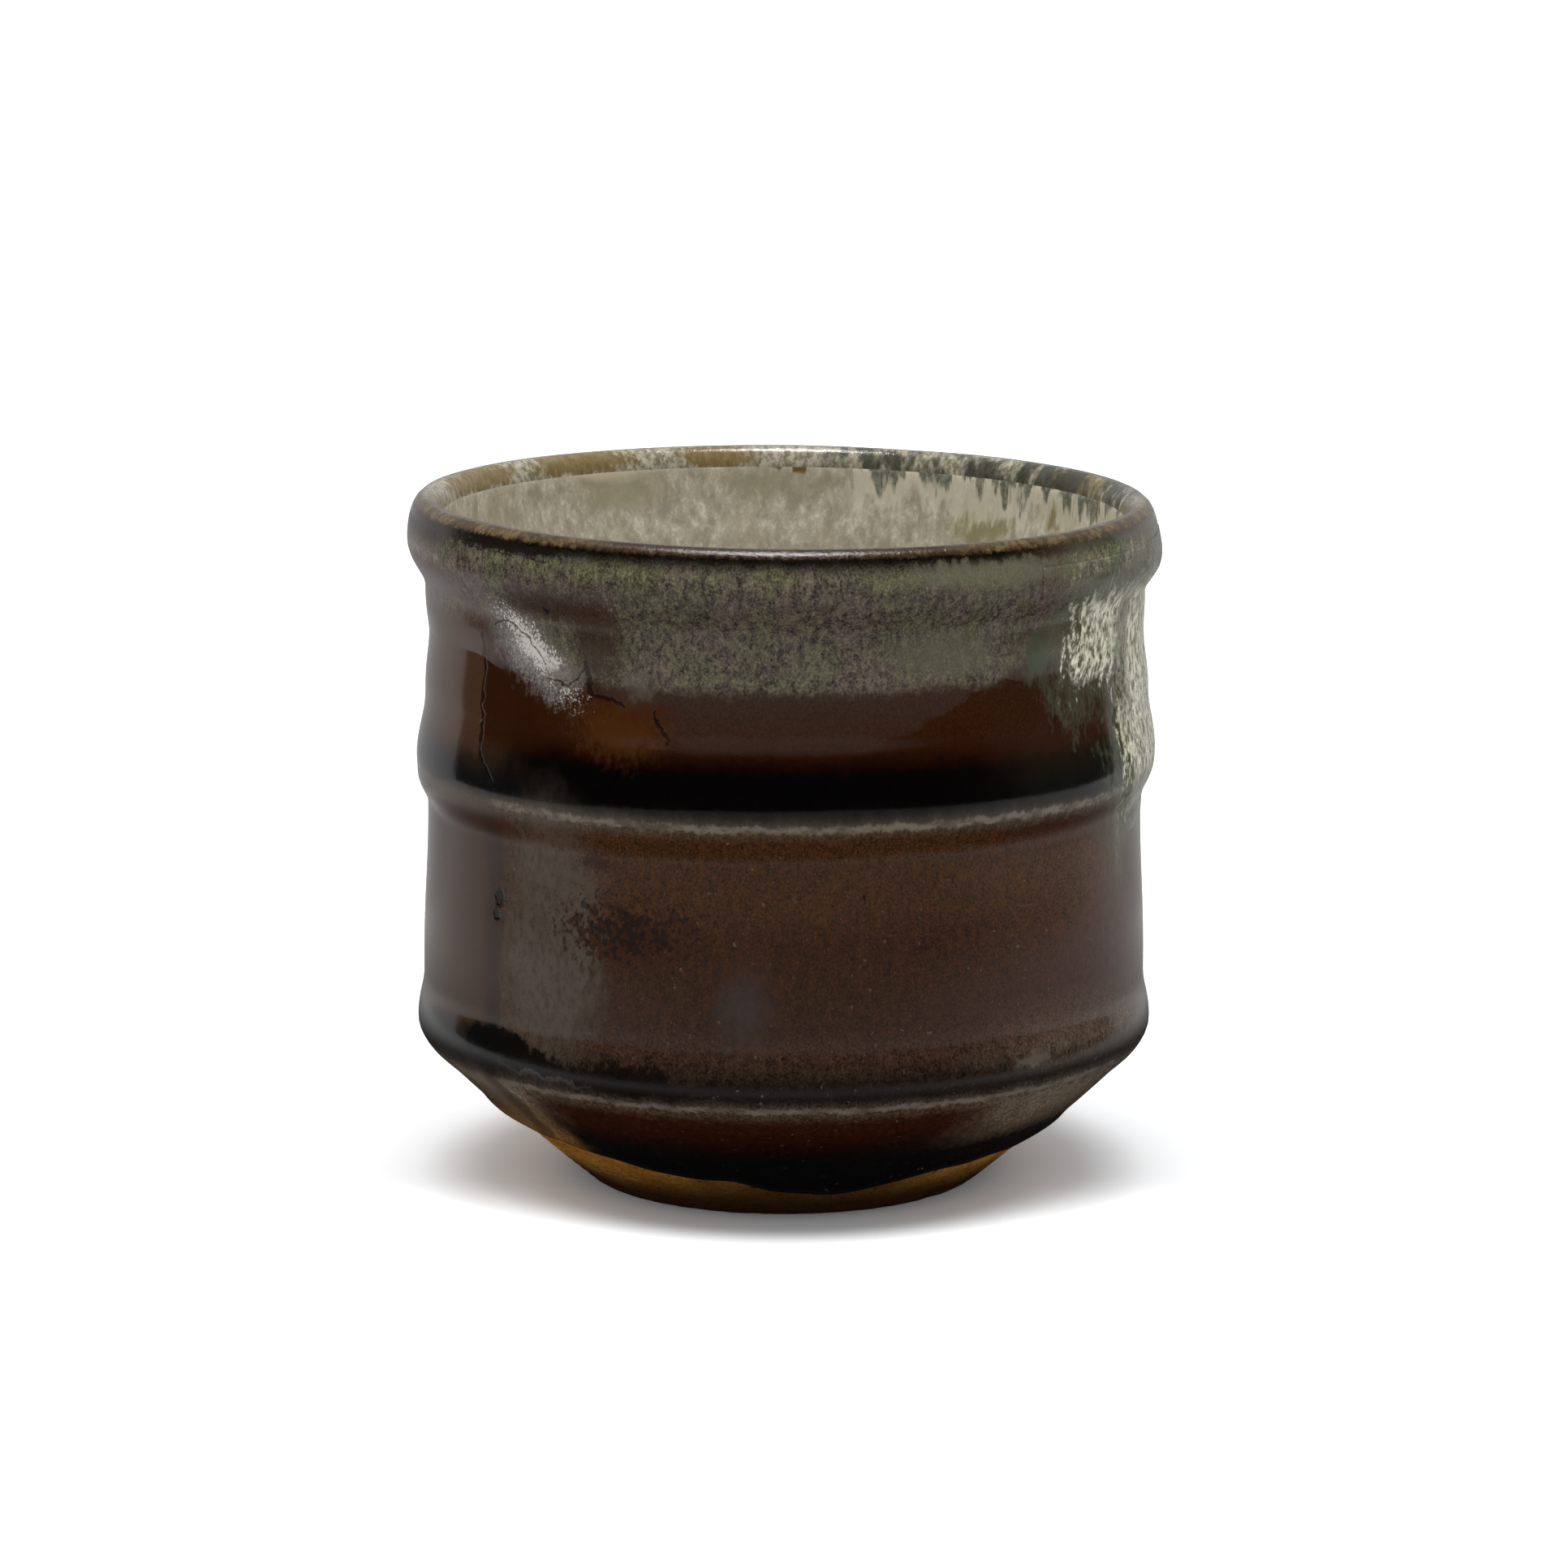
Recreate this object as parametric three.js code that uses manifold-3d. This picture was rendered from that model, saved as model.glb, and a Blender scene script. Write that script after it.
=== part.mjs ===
// A small handleless stoneware cup for sake, thrown on a wheel, turned at the foot and glazed.
//
// Millimetres, +Z up. The origin is the middle of the foot, on the surface that the cup stands on.
// The pieces are the fired clay body and the coats of glaze that are laid over it one by one: an iron
// glaze outside, an ash glaze inside, a second thin dip of ash glaze round the rim and a thick pour of
// it down one side. The clay's outline is a chain of curves, and every coat is measured outwards from
// it, so a change to the clay carries the coats along.

import * as THREE from 'three';
import { mergeVertices } from 'three/addons/utils/BufferGeometryUtils.js';
import Module from 'manifold-3d';

// ---- Driving dimensions: the outside of the clay ----

// Heights are a stack of bands, each from one ring of the wall up to the next.
const footEdge = 0.5; // chamfer where the foot meets the table
const coneRise = 9.7;
const shoulderRise = 2.9;
const ridgeRise = 4.2;
const lowerWallRise = 14.3;
const ribRise = 3.2;
const ribFade = 6;
const upperWallRise = 5;
const neckRise = 3.1;
const beadRise = 3.95;
const crownRise = 3.1;

// The straight part of the wall has a diameter, and each ring stands out of it or sinks into it.
const wallDiameter = 57.85;
const footDiameter = 33.8; // just above the chamfered edge
const coneTopInset = 1.33;
const coneFullness = 0.15; // how far the cone swells out from a straight line
const shoulderProud = 1;
const ridgeTopProud = 0.45;
const ribProud = 0.95;
const ribTopProud = 0.12;
const neckHollow = 0.27;
const beadFootHollow = 0.17;
const beadProud = 1.45;
const crownInset = 1.12; // from the widest ring of the lip in to its highest ring

// ---- Driving dimensions: the inside of the clay and the underside ----

const lipThickness = 2.13;
const lipInnerDrop = 2.1; // below the top of the lip
const neckThickness = 2.25;
const throatDrop = 11.95; // below the top of the lip
const wallThickness = 2.93;
const bowlRise = 13.5; // from the floor up to where the wall starts
const bowlFullness = 2.6; // 2 is a round bowl, larger is a flatter floor
const floorThickness = 4.4;
const recessDepth = 2.1;
const recessDiameter = 23;
const recessTaper = 1.2;

// ---- Driving dimensions: the coats ----

const ironCoat = 0.35;
const liningCoat = 0.35;
const dipCoat = 0.2;
const pourCoat = 0.35;
const fusionGap = 0.05; // between a coat and what it is fused to
const lipSeam = 0.75; // share of the way from the crown to the inner lip where the iron glaze stops
const lipSeamGap = 0.05; // the same share, left open between the iron glaze and the lining
const glazeRoll = 0.15; // extra thickness where the iron glaze stops running
const featherEdge = 0.05;

// The iron glaze stops on the cone, on a line that hangs lowest towards the front.
const glazeLineHeight = 4.9;
const glazeLineSwing = 1.2;
const glazeLineSag = 0.8;
const glazeLineLowSide = THREE.MathUtils.degToRad(-78);

// The rim dip stops on the upper wall, on a gently waved line.
const dipTopDrop = 1.2; // below the top of the clay
const dipEdgeDrop = 1.5; // below the neck
const dipEdgeSwing = 0.6;
const dipEdgeWaves = 3;
const dipFade = 1.6; // height over which the dip thickens from its edge

// The pour is a broad tongue of ash glaze with a short lobe towards the front.
const pourAzimuth = THREE.MathUtils.degToRad(-14);
const pourTopDrop = 4; // below the top of the clay
const pourHalfWidth = 13.5;
const pourLobeDrop = 0.8; // below the edge of the dip
const pourLobeRound = 3;
const pourTongueHalfWidth = 9;
const pourTongueDrop = 2.2; // below the crest of the rib
const bandMargin = 2; // how far the pour's band is turned past its outline

// ---- Fineness of the facets ----

const segments = 40;
const pourOutlineSteps = 6;
const dipFadeShares = [0, 0.35, 0.7];
const searchSteps = 40;

// ---- The clay's outline, as curves in the (radius, height) plane ----

const uprightReach = 0.42; // how long an upright curve keeps the direction of its ends
const quarterReach = 0.5523; // makes a cubic curve follow a quarter of an ellipse

/** A curve between two rings where the wall stands upright. */
function upright(from, to) {
  const reach = (to.y - from.y) * uprightReach;
  const leave = new THREE.Vector2(from.x, from.y + reach);
  const arrive = new THREE.Vector2(to.x, to.y - reach);
  return new THREE.CubicBezierCurve(from, leave, arrive, to);
}

/** A quarter round between an upright ring and the level crown of the lip. */
function quarterRound(uprightEnd, levelEnd, startsUpright) {
  const nearUpright = new THREE.Vector2(
    uprightEnd.x,
    THREE.MathUtils.lerp(uprightEnd.y, levelEnd.y, quarterReach),
  );
  const nearLevel = new THREE.Vector2(
    THREE.MathUtils.lerp(levelEnd.x, uprightEnd.x, quarterReach),
    levelEnd.y,
  );
  return startsUpright
    ? new THREE.CubicBezierCurve(uprightEnd, nearUpright, nearLevel, levelEnd)
    : new THREE.CubicBezierCurve(levelEnd, nearLevel, nearUpright, uprightEnd);
}

/** The floor of the bowl: a squared-off quarter ellipse from the wall to the axis. */
class BowlCurve extends THREE.Curve {
  constructor(rim, floorHeight, fullness) {
    super();
    this.rim = rim;
    this.floorHeight = floorHeight;
    this.fullness = fullness;
  }

  getPoint(t, target = new THREE.Vector2()) {
    const angle = (t * Math.PI) / 2;
    const radius = this.rim.x * Math.cos(angle) ** (2 / this.fullness);
    const depth = (this.rim.y - this.floorHeight) * Math.sin(angle) ** (2 / this.fullness);
    return t >= 1 ? target.set(0, this.floorHeight) : target.set(radius, this.rim.y - depth);
  }
}

const wallRadius = wallDiameter / 2;
const footRing = new THREE.Vector2(footDiameter / 2, footEdge);

/** The ring that lies a rise above another, a distance out from the straight part of the wall. */
const ringAbove = (below, rise, proud) => new THREE.Vector2(wallRadius + proud, below.y + rise);

const coneTop = ringAbove(footRing, coneRise, -coneTopInset);
const shoulder = ringAbove(coneTop, shoulderRise, shoulderProud);
const ridgeTop = ringAbove(shoulder, ridgeRise, ridgeTopProud);
const waist = ringAbove(ridgeTop, lowerWallRise, 0);
const rib = ringAbove(waist, ribRise, ribProud);
const ribTop = ringAbove(rib, ribFade, ribTopProud);
const neck = ringAbove(ribTop, upperWallRise, -neckHollow);
const beadFoot = ringAbove(neck, neckRise, -beadFootHollow);
const bead = ringAbove(beadFoot, beadRise, beadProud);
const crown = ringAbove(bead, crownRise, beadProud - crownInset);

const bowlFloorHeight = recessDepth + floorThickness;
const lipInner = new THREE.Vector2(bead.x - lipThickness, crown.y - lipInnerDrop);
const throat = new THREE.Vector2(neck.x - neckThickness, crown.y - throatDrop);
const bowlRim = new THREE.Vector2(wallRadius - wallThickness, bowlFloorHeight + bowlRise);

const coneSlope = coneTop.clone().sub(footRing);
const coneOut = new THREE.Vector2(coneSlope.y, -coneSlope.x).normalize();
const coneBulge = footRing.clone().lerp(coneTop, 0.5).addScaledVector(coneOut, 2 * coneFullness);
const cone = new THREE.QuadraticBezierCurve(footRing, coneBulge, coneTop);
const coneEnd = coneTop.clone().sub(coneBulge).normalize();
const shoulderLeave = coneTop.clone().addScaledVector(coneEnd, coneTop.distanceTo(shoulder) / 2);
const shoulderArrive = new THREE.Vector2(shoulder.x, shoulder.y - uprightReach * shoulderRise);
const shoulderRound = new THREE.CubicBezierCurve(coneTop, shoulderLeave, shoulderArrive, shoulder);

const upperWall = upright(ribTop, neck);
const neckWall = upright(neck, beadFoot);

// Each stretch is a curve and the number of steps that its shape needs.
const outsideStretches = [
  [cone, 3],
  [shoulderRound, 3],
  [upright(shoulder, ridgeTop), 2],
  [upright(ridgeTop, waist), 2],
  [upright(waist, rib), 4],
  [upright(rib, ribTop), 4],
  [upperWall, 2],
  [neckWall, 2],
  [upright(beadFoot, bead), 4],
  [quarterRound(bead, crown, true), 4],
];
const insideStretches = [
  [quarterRound(lipInner, crown, false), 3],
  [upright(lipInner, throat), 3],
  [upright(throat, bowlRim), 2],
  [new BowlCurve(bowlRim, bowlFloorHeight, bowlFullness), 8],
];

/** A station is a point of the clay's outline with the direction that faces away from the clay. */
function stationOn(curve, t) {
  const near = 1e-3;
  const before = curve.getPoint(Math.max(t - near, 0));
  const after = curve.getPoint(Math.min(t + near, 1));
  const along = after.sub(before).normalize();
  return { point: curve.getPoint(t), out: new THREE.Vector2(along.y, -along.x) };
}

function stationsOf(stretches) {
  return stretches.flatMap(([curve, steps], index) => {
    const first = index === 0 ? 0 : 1;
    return Array.from({ length: steps + 1 - first }, (_, i) => stationOn(curve, (i + first) / steps));
  });
}

/** The place that lies a given distance out from the clay. */
const lifted = (station, distance) => station.point.clone().addScaledVector(station.out, distance);

const outside = stationsOf(outsideStretches);
const inside = stationsOf(insideStretches);
inside.at(-1).out.set(0, 1);

// ---- Turned solids ----

/** Turns an outline about the axis. The outline may change with the azimuth. */
function turned(outlineAt) {
  const count = outlineAt(0).length;
  const geometry = new THREE.LatheGeometry(outlineAt(0), segments);
  const position = geometry.getAttribute('position');
  for (let i = 0; i <= segments; i++) {
    const azimuth = ((i % segments) * 2 * Math.PI) / segments;
    outlineAt(azimuth).forEach((p, j) => {
      position.setXYZ(i * count + j, p.x * Math.cos(azimuth), p.x * Math.sin(azimuth), p.y);
    });
  }
  return geometry;
}

/** A closed outline between an inner and an outer line that run the same way. */
const between = (outer, inner) => [...outer, ...inner.toReversed(), outer[0].clone()];

// ---- Cutting one solid by another ----

const wasm = await Module();
wasm.setup();

/** A closed mesh as a solid that can be cut. */
function solid(geometry) {
  const bare = geometry.clone();
  bare.deleteAttribute('normal');
  bare.deleteAttribute('uv');
  const merged = mergeVertices(bare);
  const vertProperties = merged.getAttribute('position').array;
  const triVerts = Uint32Array.from(merged.index.array);
  return new wasm.Manifold(new wasm.Mesh({ numProp: 3, vertProperties, triVerts }));
}

/** What two closed meshes have in common. */
function common(first, second) {
  const { vertProperties, triVerts } = solid(first).intersect(solid(second)).getMesh();
  const geometry = new THREE.BufferGeometry();
  geometry.setAttribute('position', new THREE.Float32BufferAttribute(vertProperties, 3));
  geometry.setIndex(new THREE.Uint32BufferAttribute(triVerts, 1));
  return geometry;
}

// ---- Where the coats stop ----

function glazeLineAt(azimuth) {
  const turn = azimuth - glazeLineLowSide;
  return glazeLineHeight - glazeLineSwing * Math.cos(turn) - glazeLineSag * Math.cos(2 * turn);
}

function dipEdgeAt(azimuth) {
  return neck.y - dipEdgeDrop + dipEdgeSwing * Math.sin(dipEdgeWaves * azimuth);
}

const ironOuter = fusionGap + ironCoat;
const dipInner = ironOuter + fusionGap;
const dipOuter = dipInner + dipCoat;

// The rolled lower edge of the iron glaze: its surface at shares of the way up the cone.
const rolledEdge = [
  { share: 0, surface: fusionGap + ironCoat / 2 },
  { share: 0.08, surface: ironOuter + glazeRoll },
  { share: 0.25, surface: ironOuter + glazeRoll / 2 },
  { share: 0.6, surface: ironOuter },
];

/** The stations between two heights, on the outside. */
const stationsBetween = (low, high) => outside.filter((s) => s.point.y > low && s.point.y < high);

/** The station on the wall above the rib at a height. */
function upperStation(height) {
  const curve = height < neck.y ? upperWall : neckWall;
  let low = 0;
  let high = 1;
  for (let i = 0; i < searchSteps; i++) {
    const middle = (low + high) / 2;
    if (curve.getPoint(middle).y < height) low = middle;
    else high = middle;
  }
  return stationOn(curve, (low + high) / 2);
}

/** The stations of the rim dip, each with the distance from the clay to the dip's surface. */
function dipStations(azimuth) {
  const fading = dipFadeShares.map((share) => ({
    ...upperStation(dipEdgeAt(azimuth) + dipFade * share),
    surface: dipInner + featherEdge + (dipCoat - featherEdge) * THREE.MathUtils.smoothstep(share, 0, 1),
  }));
  const full = stationsBetween(neck.y - dipEdgeDrop + dipEdgeSwing + dipFade, crown.y - dipTopDrop);
  return [...fading, ...full.map((s) => ({ ...s, surface: dipOuter }))];
}

// ---- Pieces ----

function clayBody() {
  const underside = [
    new THREE.Vector2(0, recessDepth),
    new THREE.Vector2(recessDiameter / 2 - recessTaper, recessDepth),
    new THREE.Vector2(recessDiameter / 2, 0),
    new THREE.Vector2(footDiameter / 2 - footEdge, 0),
  ];
  const outline = [...underside, ...outside.map((s) => s.point), ...inside.slice(1).map((s) => s.point)];
  return turned(() => outline);
}

/** The iron glaze outside, from its line on the cone up and over the crown of the lip. */
function ironGlazeCoat() {
  const [lipRound, lipSteps] = insideStretches[0];
  const overLip = inside.slice(1, Math.ceil(lipSeam * lipSteps));
  const aboveCone = [
    ...outside.slice(outsideStretches[0][1]),
    ...overLip,
    stationOn(lipRound, lipSeam),
  ];
  return turned((azimuth) => {
    const start = (glazeLineAt(azimuth) - footRing.y) / coneRise;
    const onCone = rolledEdge.map(({ share, surface }) => {
      return { ...stationOn(cone, start + (1 - start) * share), surface };
    });
    return between(
      [...onCone.map((s) => lifted(s, s.surface)), ...aboveCone.map((s) => lifted(s, ironOuter))],
      [...onCone, ...aboveCone].map((s) => lifted(s, fusionGap)),
    );
  });
}

/** The ash glaze inside, from just inside the lip down and across the floor. */
function ashGlazeLining() {
  const [lipRound, lipSteps] = insideStretches[0];
  const seam = stationOn(lipRound, lipSeam + lipSeamGap);
  const stations = [seam, ...inside.slice(lipSteps)];
  const surface = stations.map((s) => lifted(s, fusionGap + liningCoat));
  const back = stations.map((s) => lifted(s, fusionGap));
  surface.at(-1).x = 0;
  back.at(-1).x = 0;
  const outline = [...back.toReversed(), ...surface];
  return turned(() => outline);
}

/** The thin second dip round the rim, over the iron glaze. */
function ashGlazeRimDip() {
  return turned((azimuth) => {
    const stations = dipStations(azimuth);
    stations.at(-1).surface = dipInner + featherEdge;
    return between(
      stations.map((s) => lifted(s, s.surface)),
      stations.map((s) => lifted(s, dipInner)),
    );
  });
}

/** The thick pour on one side: a band of glaze round the cup, kept only inside the pour's outline. */
function ashGlazePour() {
  const top = crown.y - pourTopDrop;
  const bottom = rib.y - pourTongueDrop;
  const lobe = neck.y - dipEdgeDrop - pourLobeDrop;
  const bare = stationsBetween(bottom - bandMargin, neck.y - dipEdgeDrop - dipEdgeSwing - dipFade);
  const band = turned((azimuth) => {
    const start = upperStation(dipEdgeAt(azimuth) - dipFade / 2);
    const dipped = dipStations(azimuth).filter((s) => s.point.y < top + bandMargin);
    const under = [
      ...[...bare, start].map((s) => lifted(s, dipInner)),
      ...dipped.map((s) => lifted(s, s.surface + fusionGap)),
    ];
    const over = [
      ...[...bare, start].map((s) => lifted(s, dipInner + pourCoat)),
      ...dipped.map((s) => lifted(s, s.surface + fusionGap + pourCoat)),
    ];
    return between(over, under);
  });

  const tongueLeft = pourHalfWidth - 2 * pourTongueHalfWidth;
  const shape = new THREE.Shape();
  shape.moveTo(-pourHalfWidth, top - pourTongueHalfWidth / 2);
  shape.bezierCurveTo(-pourHalfWidth, top, 0, top, pourHalfWidth, top - pourTongueHalfWidth / 2);
  shape.lineTo(pourHalfWidth, bottom + pourTongueHalfWidth);
  shape.bezierCurveTo(
    pourHalfWidth, bottom,
    tongueLeft, bottom,
    tongueLeft, bottom + pourTongueHalfWidth,
  );
  shape.quadraticCurveTo(tongueLeft, lobe, -pourHalfWidth / 2, lobe);
  shape.quadraticCurveTo(-pourHalfWidth, lobe, -pourHalfWidth, lobe + pourLobeRound);
  shape.closePath();
  const cutter = new THREE.ExtrudeGeometry(shape, {
    depth: wallDiameter,
    bevelEnabled: false,
    curveSegments: pourOutlineSteps,
  });
  // The outline's x runs round the cup, its y runs up, and the extrusion runs out from the axis.
  cutter.applyMatrix4(new THREE.Matrix4().makeBasis(
    new THREE.Vector3(0, 1, 0),
    new THREE.Vector3(0, 0, 1),
    new THREE.Vector3(1, 0, 0),
  ));
  cutter.rotateZ(pourAzimuth);
  return common(band, cutter);
}

// ---- The cup ----

function piece(name, geometry, color, roughness) {
  const material = new THREE.MeshStandardMaterial({ color, roughness, metalness: 0 });
  const mesh = new THREE.Mesh(geometry, material);
  mesh.name = name;
  return mesh;
}

const cup = new THREE.Group();
cup.add(piece('clay_body', clayBody(), 0x7a5424, 0.85));
cup.add(piece('iron_glaze_coat', ironGlazeCoat(), 0x2e1a12, 0.12));
cup.add(piece('ash_glaze_lining', ashGlazeLining(), 0xaeaa96, 0.2));
cup.add(piece('ash_glaze_rim_dip', ashGlazeRimDip(), 0x5a5a4c, 0.16));
cup.add(piece('ash_glaze_pour', ashGlazePour(), 0xcfc9b4, 0.2));

export default cup;
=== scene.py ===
# %% [markdown]
# # A hand-thrown sake cup
#
# The object is a small stoneware cup without a handle. It was thrown on a wheel from one lump of clay,
# turned at the foot, fired, and then glazed in coats: an iron glaze outside, an ash glaze inside, a
# second thin dip of ash glaze round the rim and a thick pour of it down one side. The CAD model has one
# node for the clay and one for each coat, and this lesson makes a fine piece for each of them, in the
# same place and at the same size.

import math

import bpy
import numpy as np
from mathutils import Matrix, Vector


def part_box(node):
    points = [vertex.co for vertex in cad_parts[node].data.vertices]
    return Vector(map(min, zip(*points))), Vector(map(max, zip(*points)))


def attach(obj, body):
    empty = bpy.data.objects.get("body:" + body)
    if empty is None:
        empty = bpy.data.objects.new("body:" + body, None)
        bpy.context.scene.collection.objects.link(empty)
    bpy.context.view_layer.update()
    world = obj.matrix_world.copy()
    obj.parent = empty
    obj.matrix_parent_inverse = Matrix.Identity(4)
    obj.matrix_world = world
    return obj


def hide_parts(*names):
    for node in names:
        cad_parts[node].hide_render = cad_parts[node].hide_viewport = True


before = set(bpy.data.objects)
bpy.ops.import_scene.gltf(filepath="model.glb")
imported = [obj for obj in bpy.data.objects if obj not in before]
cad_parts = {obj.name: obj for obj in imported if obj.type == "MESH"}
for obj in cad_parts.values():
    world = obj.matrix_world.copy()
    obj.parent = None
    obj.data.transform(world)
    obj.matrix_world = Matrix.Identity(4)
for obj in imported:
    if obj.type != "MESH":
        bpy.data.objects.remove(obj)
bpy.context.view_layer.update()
clay_low, clay_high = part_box("clay_body")

# %% [markdown]
# ## The camera
#
# A long lens from a little above the rim shows the cup as it stands on a table: the back of the
# inside is in view, and the outlines stay nearly parallel.

# %% Camera
MM = 0.001
CAMERA_DISTANCE = 465 * MM
CAMERA_HEIGHT = 123.7 * MM
CAMERA_AIM = 28 * MM
CAMERA_LENS = 132.06
CAMERA_LIFT = 0.0319  # slides the cup down in the frame, as a share of its width

aim_angle = math.atan2(CAMERA_HEIGHT - CAMERA_AIM, CAMERA_DISTANCE)
bpy.ops.object.camera_add(
    location=(0, -CAMERA_DISTANCE, CAMERA_HEIGHT),
    rotation=(math.pi / 2 - aim_angle, 0, 0),
)
camera = bpy.context.object
camera.name = "camera"
camera.data.lens = CAMERA_LENS
camera.data.shift_y = CAMERA_LIFT
camera.data.clip_start = 0.01
bpy.context.scene.camera = camera
print("camera looks down by", round(math.degrees(aim_angle), 2), "degrees")

# %% [markdown]
# ## The line of the wall
#
# A potter thinks of a wall as a stack of rings: where the cone ends, where the shoulder stands out,
# where the rib is. The same rings as in the CAD model are listed here in millimetres, as radius and
# height. Between two rings of the upright wall, a cubic curve that leaves and arrives upright is what
# a wooden rib leaves in soft clay. One line then runs from the middle of the underside, up the
# outside, over the lip and down to the middle of the floor. Every coat is measured outwards from this
# line, so the coats always nest.

# %% Rings of the clay
WALL = 28.925
RECESS_DEPTH = 2.1
RECESS_TOP = (10.3, RECESS_DEPTH)
RECESS_MOUTH = (11.5, 0)
FOOT_UNDER = (16.4, 0)
FOOT = (16.9, 0.5)
CONE_TOP = (WALL - 1.33, 10.2)
SHOULDER = (WALL + 1.0, 13.1)
RIDGE_TOP = (WALL + 0.45, 17.3)
WAIST = (WALL, 31.6)
RIB = (WALL + 0.95, 34.8)
RIB_TOP = (WALL + 0.12, 40.8)
NECK = (WALL - 0.27, 45.8)
BEAD_FOOT = (WALL - 0.17, 48.9)
BEAD = (WALL + 1.45, 52.85)
CROWN = (WALL + 0.33, 55.95)
LIP_INNER = (BEAD[0] - 2.13, CROWN[1] - 2.1)
THROAT = (NECK[0] - 2.25, CROWN[1] - 11.95)
BOWL_RIM = (WALL - 2.93, 20.0)
FLOOR_HEIGHT = 6.5
BOWL_FULLNESS = 2.6
UPRIGHT_REACH = 0.42
QUARTER_REACH = 0.5523
print("clay is", round(2 * BEAD[0], 2), "mm wide; the CAD clay is",
      round((clay_high.x - clay_low.x) / MM, 2))

# %% Curves between the rings
FINE = 60  # points on each curve, before the line is divided evenly


def bezier(*handles):
    """Points of a curve with any number of handles in the (radius, height) plane."""
    t = np.linspace(0, 1, FINE)[:, None]
    points = np.array(handles, float)[:, None, :]
    while len(points) > 1:
        points = points[:-1] * (1 - t) + points[1:] * t
    return points[0]


def softened(before, corner, after, reach):
    """A worn corner: it leaves the edge to the ring before, and joins the edge to the ring after."""
    corner = np.array(corner, float)
    arrive = np.array(before) - corner
    leave = np.array(after) - corner
    start = corner + arrive / np.linalg.norm(arrive) * reach
    end = corner + leave / np.linalg.norm(leave) * reach
    return bezier(start, corner, end)


def upright(low, high):
    """A stretch of wall that leaves and arrives upright."""
    reach = (high[1] - low[1]) * UPRIGHT_REACH
    return bezier(low, (low[0], low[1] + reach), (high[0], high[1] - reach), high)


def lip_quarter(side, top):
    """A quarter round from an upright side ring to the level top of the lip."""
    near_side = (side[0], side[1] + (top[1] - side[1]) * QUARTER_REACH)
    near_top = (top[0] + (side[0] - top[0]) * QUARTER_REACH, top[1])
    return bezier(side, near_side, near_top, top)


def bowl_floor():
    """The inside of the bowl: a squared-off quarter ellipse down to the axis."""
    angle = np.linspace(0, math.pi / 2, 4 * FINE)
    radius = BOWL_RIM[0] * np.cos(angle).clip(0) ** (2 / BOWL_FULLNESS)
    depth = (BOWL_RIM[1] - FLOOR_HEIGHT) * np.sin(angle) ** (2 / BOWL_FULLNESS)
    return np.column_stack([radius, BOWL_RIM[1] - depth])


# %% One line for the whole wall
CONE_SWELL = 0.3
FOOT_WEAR = 0.35
cone_middle = (np.array(FOOT) + CONE_TOP) / 2 + CONE_SWELL * np.array([0.67, -0.74])
cone_direction = np.array(CONE_TOP) - cone_middle
cone_direction /= np.linalg.norm(cone_direction)
shoulder_leave = CONE_TOP + cone_direction * math.dist(CONE_TOP, SHOULDER) / 2
shoulder_arrive = (SHOULDER[0], SHOULDER[1] - UPRIGHT_REACH * (SHOULDER[1] - CONE_TOP[1]))

whole_line = np.vstack([
    np.array([(0, RECESS_DEPTH)]),
    softened((0, RECESS_DEPTH), RECESS_TOP, RECESS_MOUTH, 2 * FOOT_WEAR),
    softened(RECESS_TOP, RECESS_MOUTH, FOOT_UNDER, FOOT_WEAR),
    softened(RECESS_MOUTH, FOOT_UNDER, FOOT, FOOT_WEAR),
    bezier(FOOT, cone_middle, CONE_TOP),
    bezier(CONE_TOP, shoulder_leave, shoulder_arrive, SHOULDER),
    upright(SHOULDER, RIDGE_TOP),
    upright(RIDGE_TOP, WAIST),
    upright(WAIST, RIB),
    upright(RIB, RIB_TOP),
    upright(RIB_TOP, NECK),
    upright(NECK, BEAD_FOOT),
    upright(BEAD_FOOT, BEAD),
    lip_quarter(BEAD, CROWN),
    lip_quarter(LIP_INNER, CROWN)[::-1],
    upright(LIP_INNER, THROAT),
    upright(THROAT, BOWL_RIM),
    bowl_floor(),
])
fresh = np.append(True, np.linalg.norm(np.diff(whole_line, axis=0), axis=1) > 1e-6)
whole_line = whole_line[fresh]
travel = np.append(0, np.cumsum(np.linalg.norm(np.diff(whole_line, axis=0), axis=1)))
along = np.gradient(whole_line, travel, axis=0)
along /= np.linalg.norm(along, axis=1)[:, None]
facing = np.column_stack([along[:, 1], -along[:, 0]])
facing[-1] = (0, 1)


def clay_at(distance):
    """Radius, height and facing direction of the clay at a distance along its line, in mm."""
    columns = (whole_line[:, 0], whole_line[:, 1], facing[:, 0], facing[:, 1])
    return [np.interp(distance, travel, column) for column in columns]


def travel_to(height, first, last):
    """The distance along the line at which it reaches a height, between two distances."""
    between = (travel >= first) & (travel <= last)
    heights = whole_line[between, 1]
    rising = 1 if heights[-1] > heights[0] else -1
    return float(np.interp(height, heights[::rising], travel[between][::rising]))


crown_travel = float(travel[np.argmax(whole_line[:, 1])])
floor_travel = float(travel[-1])
foot_travel = float(travel[np.argmin(np.hypot(*(whole_line - FOOT).T))])
print("the line is", round(floor_travel, 1), "mm long, and the lip is at", round(crown_travel, 1))

# %% [markdown]
# ## From a line to a turned piece
#
# Each piece is turned as on the wheel. One vertex is extruded point by point along the section, the
# section is spun round the axis, and doubles are merged. Each vertex remembers how far along the wall
# it is and how far it stands off the clay, so afterwards the edge of a coat can be moved up and down
# round the cup, as a dipped edge does, without cutting the mesh.

# %% Trace a section with one vertex and spin it
STEPS_AROUND = 384


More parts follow.
